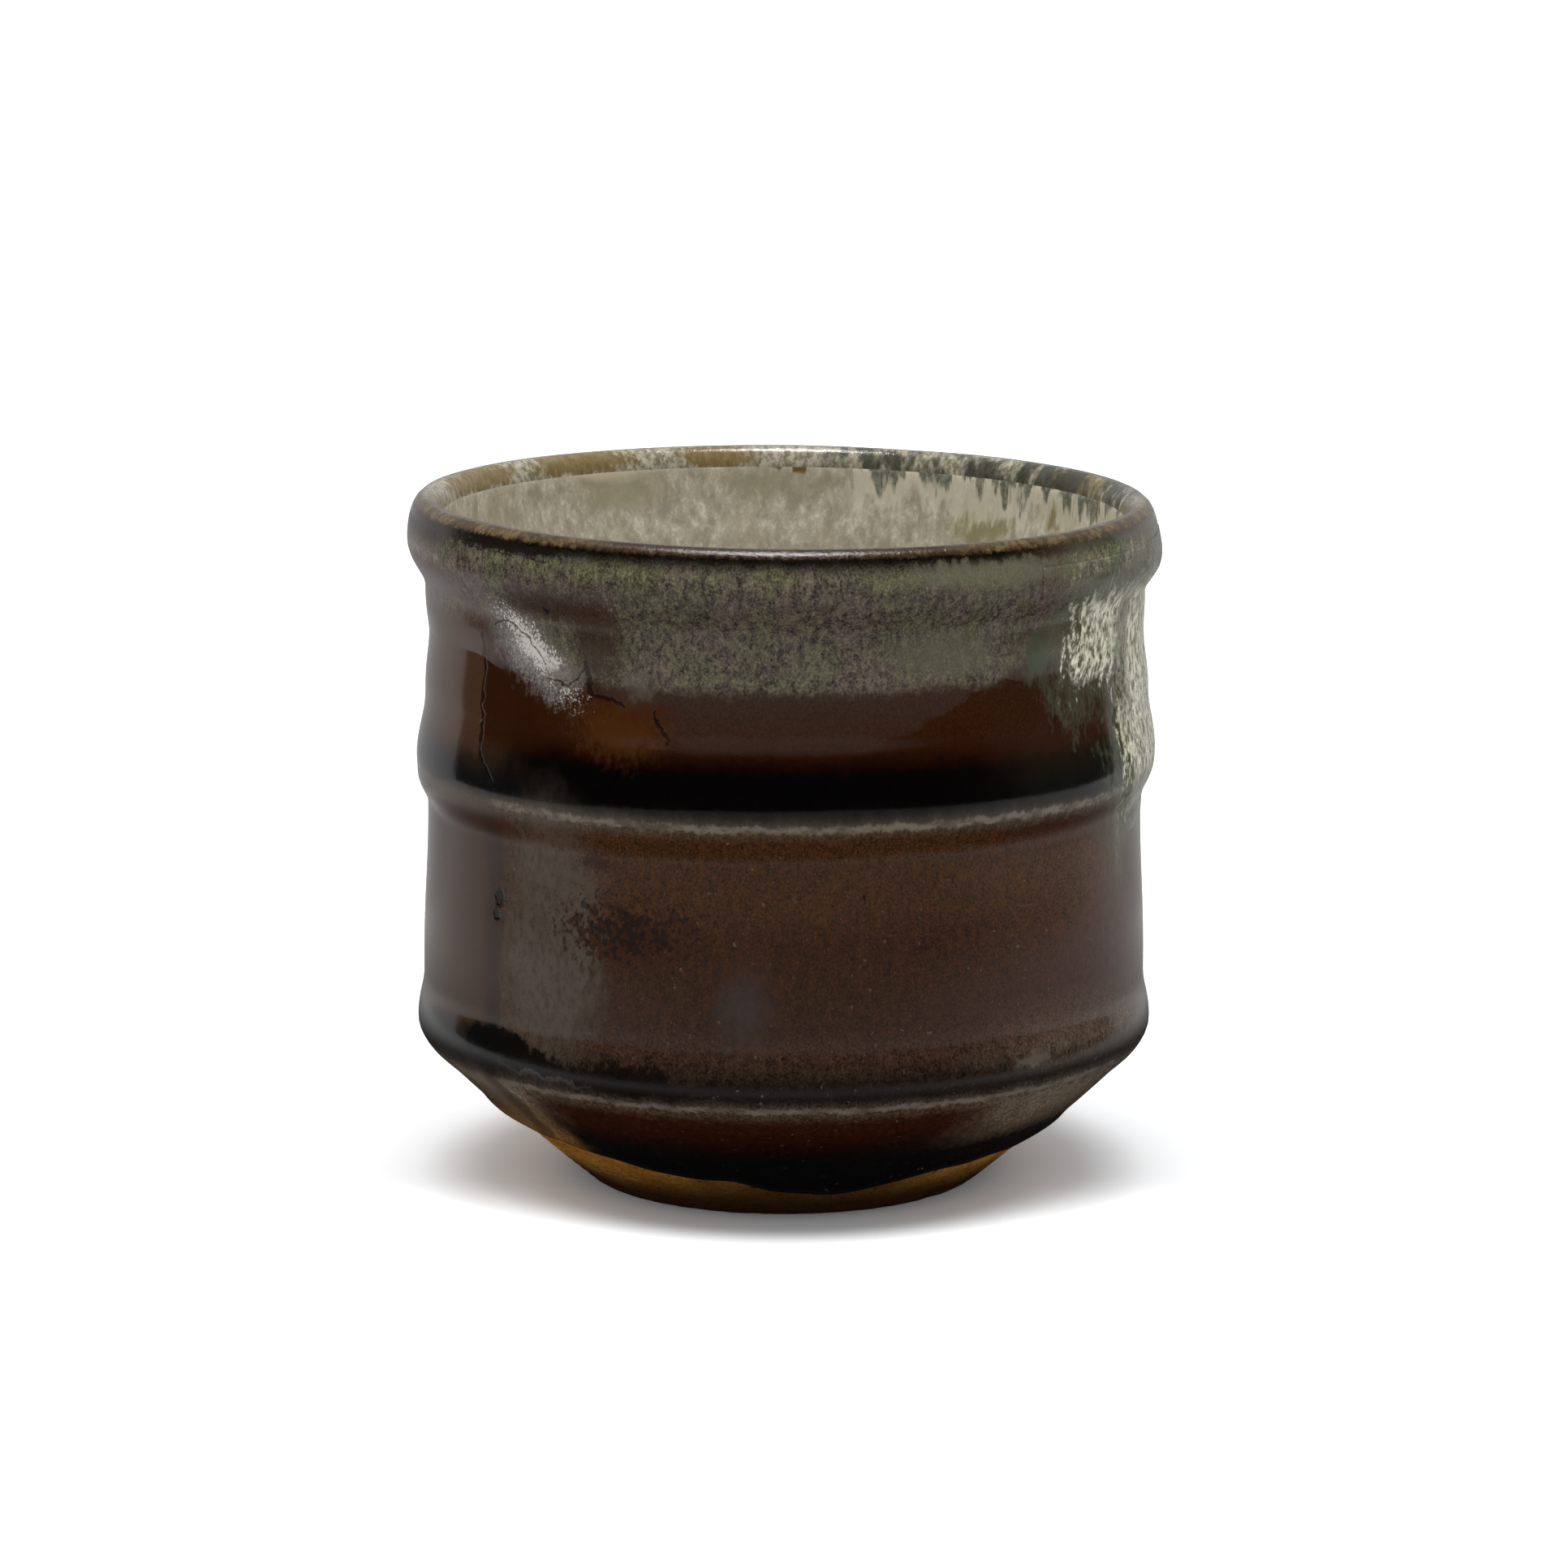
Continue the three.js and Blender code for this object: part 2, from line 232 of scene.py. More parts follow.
def trace(name, stations):
    """A new object whose edges follow stations, a list of (distance along the wall, stand-off)."""
    stations = np.array(stations, float)
    radius, height, out, up = clay_at(stations[:, 0])
    points = np.column_stack([
        radius + out * stations[:, 1], np.zeros(len(stations)), height + up * stations[:, 1],
    ]) * MM
    bpy.ops.object.select_all(action="DESELECT")
    bpy.ops.mesh.primitive_plane_add(size=MM, location=(0, 0, 0))
    piece = bpy.context.object
    piece.name = name
    bpy.ops.object.mode_set(mode="EDIT")
    bpy.ops.mesh.merge(type="CENTER")
    bpy.ops.transform.translate(value=points[0])
    for step in np.diff(points, axis=0):
        bpy.ops.mesh.extrude_region_move(TRANSFORM_OT_translate={"value": step})
    bpy.ops.object.mode_set(mode="OBJECT")
    for label, values in (("travel", stations[:, 0]), ("lift", stations[:, 1])):
        kept = piece.data.attributes.new(label, "FLOAT", "POINT")
        kept.data.foreach_set("value", values.astype(np.float32))
    return piece


def join_ends(piece):
    """Closes the traced section with one more edge, from its last vertex to its first."""
    bpy.ops.object.mode_set(mode="EDIT")
    bpy.ops.mesh.select_all(action="DESELECT")
    bpy.ops.object.mode_set(mode="OBJECT")
    piece.data.vertices[0].select = True
    piece.data.vertices[len(piece.data.vertices) - 1].select = True
    bpy.ops.object.mode_set(mode="EDIT")
    bpy.ops.mesh.edge_face_add()
    bpy.ops.object.mode_set(mode="OBJECT")


def turn(steps=STEPS_AROUND):
    """Spins the active section all the way round and merges what meets itself."""
    bpy.ops.object.mode_set(mode="EDIT")
    bpy.ops.mesh.select_all(action="SELECT")
    bpy.ops.mesh.spin(steps=steps, angle=2 * math.pi, center=(0, 0, 0), axis=(0, 0, 1))
    tidy_mesh()


def tidy_mesh():
    """Merges doubles of the active piece, turns its faces outwards and smooths the shading."""
    bpy.ops.object.mode_set(mode="EDIT")
    bpy.ops.mesh.select_all(action="SELECT")
    bpy.ops.mesh.remove_doubles(threshold=0.005 * MM)
    bpy.ops.mesh.normals_make_consistent(inside=False)
    bpy.ops.object.mode_set(mode="OBJECT")
    bpy.ops.object.shade_smooth()


# %% [markdown]
# ## What the hand leaves
#
# A thrown cup is never quite round or level. The same soft unevenness is laid on every piece: the rim
# rises a little to one side, the wall is very slightly oval, and one finger's pressure is left in it.
# Each coat also has its own thickness, which swells and thins in slow patches.

# %% Slow unevenness
RIM_RISE = 0.3
OVAL = 0.12
RIB_LEAN = 0.45
chance = np.random.default_rng(11)


def slow_patches(count, longest):
    """A smooth random function of angle and height: a sum of a few slow waves."""
    around = chance.integers(1, longest, count)
    upwards = chance.uniform(-1.2, 1.2, count)
    phase = chance.uniform(0, 2 * math.pi, count)

    def patches(angle, height):
        waves = np.sin(around[:, None] * angle + upwards[:, None] * height / 6 + phase[:, None])
        return waves.sum(0) / math.sqrt(count)

    return patches


hand_pressure = slow_patches(5, 4)
glaze_swell = slow_patches(14, 14)
edge_wander = slow_patches(9, 16)


def as_thrown(x, y, z):
    """Moves points in mm off the perfect round, by the same amount for every coat."""
    share = (z / CROWN[1]).clip(0, 1)
    angle = np.arctan2(x, -y)
    radius = np.hypot(x, y)
    push = share * (OVAL * np.cos(2 * angle + 0.6) + 0.05 * hand_pressure(angle, z))
    scale = 1 + push / WALL * (radius / WALL).clip(0, 1)
    rib_lean = RIB_LEAN * np.exp(-(((z - RIB[1]) / 6) ** 2)) * (x / WALL - 0.35)
    return x * scale, y * scale, z - RIM_RISE * share**2 * x / WALL + rib_lean


def wrap(piece, change=None):
    """Puts every vertex where its travel and lift say, after change has moved them."""
    mesh = piece.data
    count = len(mesh.vertices)
    flat = np.zeros(count * 3, np.float32)
    mesh.vertices.foreach_get("co", flat)
    place = flat.reshape(-1, 3).astype(float)
    kept = {}
    for label in ("travel", "lift"):
        values = np.zeros(count, np.float32)
        mesh.attributes[label].data.foreach_get("value", values)
        kept[label] = values.astype(float)
    angle = np.arctan2(place[:, 0], -place[:, 1])
    distance, lift = kept["travel"], kept["lift"]
    if change:
        distance, lift = change(angle, distance, lift)
    radius, height, out, up = clay_at(distance)
    radius = np.maximum(radius + out * lift, 0)
    radius[np.hypot(place[:, 0], place[:, 1]) < 1e-7] = 0
    moved = as_thrown(radius * np.sin(angle), -radius * np.cos(angle), height + up * lift)
    mesh.vertices.foreach_set("co", (np.column_stack(moved) * MM).ravel())
    mesh.attributes.remove(mesh.attributes["travel"])
    mesh.attributes.remove(mesh.attributes["lift"])
    mesh.update()


def divided(first, last, spacing):
    """Distances from first to last, evenly spaced by about the given spacing."""
    return np.linspace(first, last, max(2, round(abs(last - first) / spacing) + 1))


def smooth_step(low, high, value):
    """0 below low, 1 above high, and a smooth rise between them."""
    t = ((value - low) / (high - low)).clip(0, 1)
    return t * t * (3 - 2 * t)


def report(piece):
    """Prints the triangles and the box of a finished piece."""
    triangles = sum(len(face.vertices) - 2 for face in piece.data.polygons)
    sizes = [round(v / MM, 2) for v in piece.dimensions]
    print(piece.name, triangles, "triangles,", sizes, "mm")


# %% [markdown]
# ## The clay
#
# The whole body is one lump, from the underside over the lip to the floor of the bowl. Only the foot
# and the lower cone stay bare. There the section is traced closely, and the fine rings of the turning
# tool are cut into it. Under the glazes, where nobody looks, the stations are far apart.

# %% Turn the clay body
FINE_BELOW = 9  # the bare clay ends below this height
glaze_top_travel = travel_to(FINE_BELOW, foot_travel, crown_travel)
TOOL_PITCH = 0.9
TOOL_DEPTH = 0.035
clay_stations = np.concatenate([
    divided(0, foot_travel, 0.35),
    divided(foot_travel, glaze_top_travel, 0.3)[1:],
    divided(glaze_top_travel, crown_travel, 1.4)[1:],
    divided(crown_travel, floor_travel, 1.6)[1:],
])
cup_clay = trace("cup_clay", [(distance, 0) for distance in clay_stations])
turn()


def tool_rings(angle, distance, lift):
    """The turning tool leaves a shallow spiral on the foot and under it."""
    bare = 1 - smooth_step(glaze_top_travel - 4, glaze_top_travel - 1, distance)
    bare *= smooth_step(0.2, 2, distance)
    spiral = np.sin(2 * math.pi * distance / TOOL_PITCH + angle)
    uneven = 0.02 * edge_wander(angle * 3, distance)
    return distance, lift + bare * (TOOL_DEPTH * (spiral - 0.6) + uneven)


wrap(cup_clay, tool_rings)
report(cup_clay)

# %% [markdown]
# ## The iron glaze
#
# The cup was held by its foot and dipped upside down in iron glaze. The glaze stops in a wandering
# line above the foot, where it ran and stood in a thick rolled edge. It goes up the outside, over the
# crown of the lip, and ends on the inner round of the lip, where the inside glaze begins. On sharp
# crests a glaze draws thin, and in hollows it stands deeper.

# %% Turn the iron glaze
COAT_GAP = 0.02
IRON = 0.4
EDGE_ROLL = 0.17
EDGE_ROUND = 0.45
GLAZE_LINE = 4.9
LIP_SEAM = 0.75
STRETCH_TOP = 15.5  # the lower edge moves the stations below this height
iron_start = travel_to(GLAZE_LINE, foot_travel, crown_travel)
iron_free = travel_to(STRETCH_TOP, foot_travel, crown_travel)
lip_inner_travel = float(travel[np.argmin(np.hypot(*(whole_line - LIP_INNER).T))])
seam_travel = crown_travel + LIP_SEAM * (lip_inner_travel - crown_travel)

# angle from the front in degrees, and height in mm at which the glaze stops there
GLAZE_LINE_AT = (
    (-180, 5.2), (-120, 5.7), (-75, 6.6), (-60, 6.4), (-42, 5.8), (-28, 4.8), (-10, 4.2), (0, 3.1),
    (12, 2.7), (21, 3.3), (31, 4.3), (45, 4.7), (70, 5.3), (100, 4.5), (145, 5.0), (180, 5.2),
)
line_angles = np.radians(np.arange(-360, 361))
line_heights = np.interp(line_angles, *np.array(
    [(math.radians(a + turn), h) for turn in (-360, 0, 360) for a, h in GLAZE_LINE_AT[1:]]).T)
line_heights = np.convolve(np.pad(line_heights, 6, mode="edge"), np.hanning(15)[1:-1] / 7, "valid")


def glaze_line(angle):
    """The height in mm at which the iron glaze stops, round the cup."""
    return np.interp(angle, line_angles, line_heights) + 0.1 * edge_wander(2 * angle, 0 * angle)


def rolled(first, last, spacing, lift):
    """Outer stations of a coat, with its start rounded like a drop."""
    edge = [(first, 0.0), (first + 0.03, lift * 0.45), (first + 0.12, lift * 0.8),
            (first + 0.27, lift)]
    return edge + [(distance, lift) for distance in divided(first + EDGE_ROUND, last, spacing)]


iron_outer = rolled(iron_start, seam_travel - 0.4, 0.42, IRON)
iron_inner = [(distance, COAT_GAP) for distance in divided(seam_travel, iron_start + 0.3, 1.6)]
iron_end = [(seam_travel - 0.1, IRON * 0.92), (seam_travel + 0.1, IRON * 0.8),
            (seam_travel + 0.2, COAT_GAP)]
cup_iron_glaze = trace("cup_iron_glaze", iron_outer + iron_end + iron_inner)
join_ends(cup_iron_glaze)
turn()


def iron_flow(angle, distance, lift):
    """Moves the lower edge to the glaze line, and gives the coat its uneven depth."""
    edge = np.interp(glaze_line(angle), whole_line[:, 1][travel < crown_travel],
                     travel[travel < crown_travel])
    low = distance < iron_free
    stretched = iron_free - (iron_free - distance) * (iron_free - edge) / (iron_free - iron_start)
    distance = np.where(low, stretched, distance)
    above = (distance - edge).clip(0)
    outer = (lift > 0.5 * IRON) & (above > 0.2)
    height = clay_at(distance)[1]
    roll = EDGE_ROLL * np.exp(-((above - 0.9) / 0.9) ** 2)
    crest = -0.1 * np.exp(-((height - RIB[1]) / 0.8) ** 2)
    crest -= 0.07 * np.exp(-((height - 12.2) / 0.6) ** 2)
    pool = 0.05 * np.exp(-((height - 37.6) / 1.6) ** 2)
    swell = 0.03 * glaze_swell(angle, height) * smooth_step(0, 4, above)
    inner_lip = smooth_step(crown_travel - 1, crown_travel + 1, distance)
    return distance, np.where(outer, lift + (roll + crest + pool + swell) * (1 - inner_lip), lift)


wrap(cup_iron_glaze, iron_flow)
report(cup_iron_glaze)

# %% [markdown]
# ## The lining
#
# The inside was filled with ash glaze and emptied. It runs from the seam on the inner lip down to the
# floor, where it stands a little deeper. Its first half millimetre lies under the end of the iron
# glaze, as two glazes that melted together do. Under it the potter's fingers left a slow spiral that
# ends in a small button in the middle, and the glaze shows it softly.

# %% Turn the lining
LINING = 0.4
LINING_STEPS = 320
seam_below = seam_travel - 0.6
lining_outer = [(seam_below, COAT_GAP), (seam_below + 0.1, LINING * 0.7),
                (seam_travel - 0.1, LINING * 0.9)]
lining_outer += [(distance, LINING) for distance in divided(seam_travel + 0.2, floor_travel, 0.5)]
lining_inner = [(distance, COAT_GAP) for distance in divided(floor_travel, seam_below + 1.2, 1.8)]
cup_lining = trace("cup_lining", lining_outer[::-1] + lining_inner[::-1])
turn(LINING_STEPS)


def finger_spiral(angle, distance, lift):
    """Slow throwing rings under the glaze, strongest on the floor."""
    radius = clay_at(distance)[0]
    outer = lift > 0.9 * LINING
    rings = 0.05 * np.sin(2 * math.pi * distance / 5.2 - angle)
    floor = 1 - smooth_step(12, 22, radius)
    floor_rings = 0.16 * np.sin(2 * math.pi * radius / 4.4 - angle)
    floor_rings *= floor * smooth_step(0.5, 4, radius)
    button = 0.35 * np.exp(-((radius / 2.6) ** 2))
    below_lip = smooth_step(seam_below + 1, seam_below + 8, distance)
    swell = 0.04 * glaze_swell(angle, distance) * smooth_step(1, 6, radius)
    return distance, lift + outer * below_lip * (rings * (1 - floor) + floor_rings + button + swell)


wrap(cup_lining, finger_spiral)
report(cup_lining)

# %% [markdown]
# ## The thin dip round the rim
#
# The rim was dipped once more, in thin ash glaze. This second coat has no step below: it feathers out
# into the iron glaze in a ragged line. So its lower edge sinks just under the surface of the coat
# below, and the line where the two surfaces cross wanders as the real one does.

# %% Turn the rim dip
DIP = 0.56
DIP_LOW = 42.6
DIP_SUNK = 0.1
dip_top = travel_to(CROWN[1] - 1.2, foot_travel, crown_travel)
dip_foot = travel_to(DIP_LOW, foot_travel, crown_travel)
dip_outer = [(distance, DIP) for distance in divided(dip_foot, dip_top, 0.33)]
dip_inner = [(distance, 0.3) for distance in divided(dip_top, dip_foot, 1.2)]
cup_rim_dip = trace("cup_rim_dip", dip_outer + dip_inner)
join_ends(cup_rim_dip)
turn()


def ragged_edge(angle):
    """The height in mm at which the thin dip feathers out."""
    waves = np.sin(5 * angle + 1) + 0.7 * np.sin(13 * angle + 2) + 0.3 * np.sin(31 * angle)
    return 44.4 + 0.3 * waves


def dip_rise(angle, height):
    """0 below the ragged foot of the dip, and 1 where it has its full depth."""
    return smooth_step(-1.0, 3.2, height - ragged_edge(angle))


def dip_fade(angle, distance, lift):
    """Sinks the dip under the iron glaze at its top and at its ragged foot."""
    height = clay_at(distance)[1]
    shown = dip_rise(angle, height)
    shown *= 1 - smooth_step(dip_top - 6.5, dip_top, distance)
    swell = 0.03 * glaze_swell(angle + 1, height)
    outer = lift > 0.5
    surface = IRON - DIP_SUNK + (DIP - IRON + DIP_SUNK + swell) * shown
    return distance, np.where(outer, surface, lift)


wrap(cup_rim_dip, dip_fade)
report(cup_rim_dip)

# %% [markdown]
# ## The thick pour
#
# On one side the same ash glaze was poured thickly. It starts below the lip in a broad soft patch,
# with one short lobe towards the front, and a tongue of it ran down past the rib. A tongue of glaze is
# thickest along its middle and near its end. The mesh is a curved shell over that side of the cup, and
# its outer skin sinks under the coats below wherever the pour stops.

# %% Turn the pour
POUR = 0.85
POUR_MIDDLE = math.radians(77)
POUR_HALF = math.radians(36)
POUR_STEPS = 150
POUR_LOW = 27.5
POUR_HIGH = 54
pour_low = travel_to(POUR_LOW, foot_travel, crown_travel)
pour_high = travel_to(POUR_HIGH, foot_travel, crown_travel)
pour_outer = [(distance, POUR) for distance in divided(pour_low, pour_high, 0.33)]
pour_inner = [(distance, 0.25) for distance in divided(pour_high, pour_low, 1.5)]
cup_pour = trace("cup_pour", pour_outer + pour_inner)
join_ends(cup_pour)
bpy.ops.object.mode_set(mode="EDIT")
bpy.ops.mesh.select_all(action="SELECT")
start_angle = POUR_MIDDLE - POUR_HALF - math.pi / 2
bpy.ops.transform.rotate(value=-start_angle, orient_axis="Z", center_override=(0, 0, 0))
bpy.ops.mesh.spin(steps=POUR_STEPS, angle=-2 * POUR_HALF, center=(0, 0, 0), axis=(0, 0, 1))
bpy.ops.object.mode_set(mode="OBJECT")
angles = [math.degrees(math.atan2(v.co.x, -v.co.y)) for v in cup_pour.data.vertices]
print("the pour spans", round(min(angles), 1), "to", round(max(angles), 1), "degrees")

# %% Close the two ends of the shell
for end_angle in (min(angles), max(angles)):
    bpy.ops.object.mode_set(mode="EDIT")
    bpy.ops.mesh.select_all(action="DESELECT")
    bpy.ops.object.mode_set(mode="OBJECT")
    for vertex, angle in zip(cup_pour.data.vertices, angles):
        vertex.select = abs(angle - end_angle) < 0.01
    bpy.ops.object.mode_set(mode="EDIT")
    bpy.ops.mesh.edge_face_add()
    bpy.ops.mesh.quads_convert_to_tris()
    bpy.ops.object.mode_set(mode="OBJECT")
tidy_mesh()


# %% Give the pour its outline and its thickness
POUR_PATCH = ((-0.3, 47.7), (14.0, 4.6), 3.4)  # middle, half size and corner radius, in mm
POUR_TONGUE = ((2.4, 41.6), (9.2, 12.0), 6.0)


def rounded_patch(across, height, middle, half, corner):
    """How far in mm a point is inside a patch with round corners; negative outside."""
    side = np.abs(across - middle[0]) - half[0] + corner
    rise = np.abs(height - middle[1]) - half[1] + corner
    outside = np.hypot(side.clip(0), rise.clip(0))
    return corner - outside - np.minimum(np.maximum(side, rise), 0)


def pour_depth(angle, height):
    """How far in mm a point is inside the outline of the pour."""
    across = (angle - POUR_MIDDLE) * WALL
    wander = 0.35 * np.sin(9 * angle + 0.9 * height) + 0.2 * np.sin(23 * angle - 1.7 * height)
    patch = rounded_patch(across, height, *POUR_PATCH)
    tongue = rounded_patch(across, height, *POUR_TONGUE)
    return np.maximum(patch, tongue) + wander


def pour_flow(angle, distance, lift):
    """Lets the outer skin rise out of the coats below inside the outline."""
    height = clay_at(distance)[1]
    depth = pour_depth(angle, height)
    below = IRON + (DIP - IRON) * dip_rise(angle, height) - DIP_SUNK
    shown = smooth_step(-0.5, 2.6, depth) ** 0.8
    roll = 0.05 * np.exp(-((depth - 1.6) / 1.0) ** 2) * (1 - smooth_step(44, 50, height))
    swell = 0.04 * glaze_swell(angle + 2, height)
    body = (POUR - below + roll + swell) * (0.45 + 0.55 * smooth_step(33, 39.5, height))
    return distance, np.where(lift > 0.5, below + body * shown, lift)


wrap(cup_pour, pour_flow)
report(cup_pour)

# %% [markdown]
# ## Painting with fire
#
# Glaze colour comes from how thick the coat is and how it ran, so the finish is described by place on
# the cup: angle from the front in degrees, height in mm, and noise that is stretched upwards because
# molten glaze runs down. One node group holds the whole outside. The iron glaze, the thin dip and the
# pour all use it, so their colours meet without a seam, as coats that fired together do. Everything
# reads Object coordinates, which stay still when the camera moves.

# %% A small set of brushes for building materials
MIX_AMOUNT, MIX_UNDER, MIX_OVER, MIX_RESULT = 0, 6, 7, 2  # a colour mix has many same-named sockets
BANDS_TOP = 60  # mm, the height at the right end of a colour ramp


class Brushes:
    """Short calls for the nodes of one material or node group."""

    def __init__(self, tree):
        self.tree = tree
        place = self.node("ShaderNodeTexCoord").outputs["Object"]
        self.place = self.vector("SCALE", place, scale=1 / MM)
        axes = self.node("ShaderNodeSeparateXYZ", {0: self.place})
        self.x, self.y, self.z = axes.outputs
        back = self.math("MULTIPLY", self.y, -1)
        self.angle = self.math("DEGREES", self.math("ARCTAN2", self.x, back))
        tilt = self.math("MULTIPLY", self.x, RIM_RISE / WALL / CROWN[1] ** 2)
        square = self.math("MULTIPLY", self.z, self.z)
        self.height = self.math("MULTIPLY_ADD", tilt, square, self.z)

    def node(self, kind, inputs=None, **settings):
        """Adds a node, sets it up and fills its inputs with links or numbers."""
        node = self.tree.nodes.new(kind)
        for key, value in settings.items():
            setattr(node, key, value)
        for socket, value in (inputs or {}).items():
            if isinstance(value, bpy.types.NodeSocket):
                self.tree.links.new(value, node.inputs[socket])
            else:
                node.inputs[socket].default_value = value
        return node

    def math(self, operation, *values, clamp=False):
        """One step of arithmetic."""
        inputs = dict(enumerate(values))
        return self.node("ShaderNodeMath", inputs, operation=operation, use_clamp=clamp).outputs[0]

    def times(self, *values):
        """Multiplies two or more numbers."""
        product = values[0]
        for value in values[1:]:
            product = self.math("MULTIPLY", product, value)
        return product

    def largest(self, *values):
        """The largest of some numbers, which lays marks side by side."""
        most = values[0]
        for value in values[1:]:
            most = self.math("MAXIMUM", most, value)
        return most

    def nudge(self, value, noise, reach):
        """Shifts a number by a noise, up to half of reach each way."""
        return self.math("MULTIPLY_ADD", self.math("SUBTRACT", noise, 0.5), reach, value)

    def vector(self, operation, *values, scale=None):
        """One step of arithmetic on a position."""
        inputs = dict(enumerate(values))
        if scale is not None:
            inputs["Scale"] = scale
        node = self.node("ShaderNodeVectorMath", inputs, operation=operation)
        return node.outputs["Value" if operation in ("LENGTH", "DOT_PRODUCT") else "Vector"]

    def noise(self, around, upwards, detail=2.0, seed=0.0, roughness=0.5):
        """Noise from 0 to 1 with its number of patches per mm around and upwards."""
        spot = self.vector("MULTIPLY_ADD", self.place, (around, around, upwards), (seed, seed, seed))
        inputs = {"Vector": spot, "Scale": 1, "Detail": detail, "Roughness": roughness}
        return self.node("ShaderNodeTexNoise", inputs).outputs["Fac"]

    def fray(self, flat, scale, reach, seed):
        """Shifts a flat place by a noise that differs across and upwards, to tear an edge."""
        spot = self.vector("MULTIPLY_ADD", self.place, (scale, scale, scale), (seed, seed, seed))
        inputs = {"Vector": spot, "Scale": 1, "Detail": 4, "Roughness": 0.62}
        torn = self.node("ShaderNodeTexNoise", inputs).outputs["Color"]
        torn = self.vector("SUBTRACT", torn, (0.5, 0.5, 0.5))
        return self.vector("MULTIPLY_ADD", torn, (reach, reach, 0), flat)

    def beyond(self, flat, place, lean):
        """How many mm a flat place is past a slanting line, on its upper side."""
        across, height = math.radians(place[0]) * WALL, place[1]
        normal = (-math.sin(math.radians(lean)), math.cos(math.radians(lean)), 0)
        offset = -(across * normal[0] + height * normal[1])
        return self.math("ADD", self.vector("DOT_PRODUCT", flat, normal), offset)

    def level(self, value, low, high, low_out=0.0, high_out=1.0):
        """A smooth change from low_out to high_out as value goes from low to high."""
        inputs = {0: value, 1: low, 2: high, 3: low_out, 4: high_out}
        return self.node("ShaderNodeMapRange", inputs, interpolation_type="SMOOTHSTEP").outputs[0]

    def window(self, value, low, low_full, high_full, high):
        """1 from low_full to high_full, with a smooth fall to 0 at low and at high."""
        return self.times(self.level(value, low, low_full), self.level(value, high, high_full))

    def mix(self, amount, under, over):
        """Lays one colour over another."""
        under = (*under, 1) if isinstance(under, tuple) else under
        over = (*over, 1) if isinstance(over, tuple) else over
        inputs = {MIX_AMOUNT: amount, MIX_UNDER: under, MIX_OVER: over}
        return self.node("ShaderNodeMix", inputs, data_type="RGBA").outputs[MIX_RESULT]

    def bands(self, height, stops):
        """A colour for each height in mm, blended between the stops."""
        share = self.math("DIVIDE", height, BANDS_TOP)
        ramp = self.node("ShaderNodeValToRGB", {0: share})
        elements = ramp.color_ramp.elements
        while len(elements) < len(stops):
            elements.new(0.5)
        for element, (stop, colour) in zip(elements, sorted(stops)):
            element.position = stop / BANDS_TOP
            element.color = (*colour, 1)
        return ramp.outputs["Color"]

    def sway(self, angle, height):
        """A shared flat place in mm, measured from the front, that patches are laid on."""
        around = self.math("MULTIPLY", angle, math.pi / 180 * WALL)
        return self.node("ShaderNodeCombineXYZ", {0: around, 1: height}).outputs[0]

    def patch(self, flat, angle, height, wide, tall, ragged=None, edge=0.35, roughness=0.5, lean=0):
        """A soft round patch at an angle and height; ragged is noise that eats into its edge."""
        centred = self.vector("SUBTRACT", flat, (math.radians(angle) * WALL, height, 0.0))
        if lean:
            inputs = {"Vector": centred, "Angle": -math.radians(lean)}
            centred = self.node("ShaderNodeVectorRotate", inputs, rotation_type="Z_AXIS").outputs[0]
        reach = self.vector("LENGTH", self.vector("MULTIPLY", centred, (2 / wide, 2 / tall, 0)))
        if ragged is not None:
            reach = self.nudge(reach, ragged, roughness * 2)
        return self.level(reach, 1 + edge, 1 - edge)


def glaze_group(name):
    """An empty node group with the three outputs that every finish uses."""
    group = bpy.data.node_groups.new(name, "ShaderNodeTree")
    for socket, kind in (("Color", "Color"), ("Roughness", "Float"), ("Relief", "Float")):
        group.interface.new_socket(socket, in_out="OUTPUT", socket_type="NodeSocket" + kind)
    return group


# %% [markdown]
# ## Bands of the outside
#
# Read from the foot up: black where the iron glaze stands thick, rust on the cone, a pale line where it
# broke over the shoulder, which is also a painted reflection of the white floor, warm brown on the
# wall, a pale broken line on the rib, partly painted reflection in the same way, black in the hollow
# above it, amber, then the grey-green of the thin ash dip, and amber again on the sharp lip.

# %% Bands at the front, to the left and to the right
black = (0.0015, 0.001, 0.001)
FRONT_BANDS = [
    (6.6, black), (7.8, (0.007, 0.001, 0.0005)), (9.0, (0.018, 0.003, 0.0005)),
    (10.6, (0.022, 0.005, 0.001)), (11.5, (0.050, 0.028, 0.016)), (12.3, (0.036, 0.026, 0.020)),
    (12.9, (0.010, 0.007, 0.006)), (13.8, (0.006, 0.003, 0.002)), (14.8, (0.020, 0.012, 0.008)),
    (16.2, (0.036, 0.018, 0.011)), (18.5, (0.024, 0.008, 0.002)), (25.0, (0.027, 0.008, 0.001)),
    (28.0, (0.037, 0.013, 0.003)), (33.4, (0.037, 0.014, 0.004)), (34.8, (0.040, 0.029, 0.019)),
    (35.3, (0.010, 0.009, 0.007)), (35.9, black), (38.6, black), (39.4, (0.010, 0.002, 0.0005)),
    (40.6, (0.025, 0.006, 0.001)), (43.0, (0.032, 0.009, 0.002)), (47.0, (0.032, 0.011, 0.004)),
]
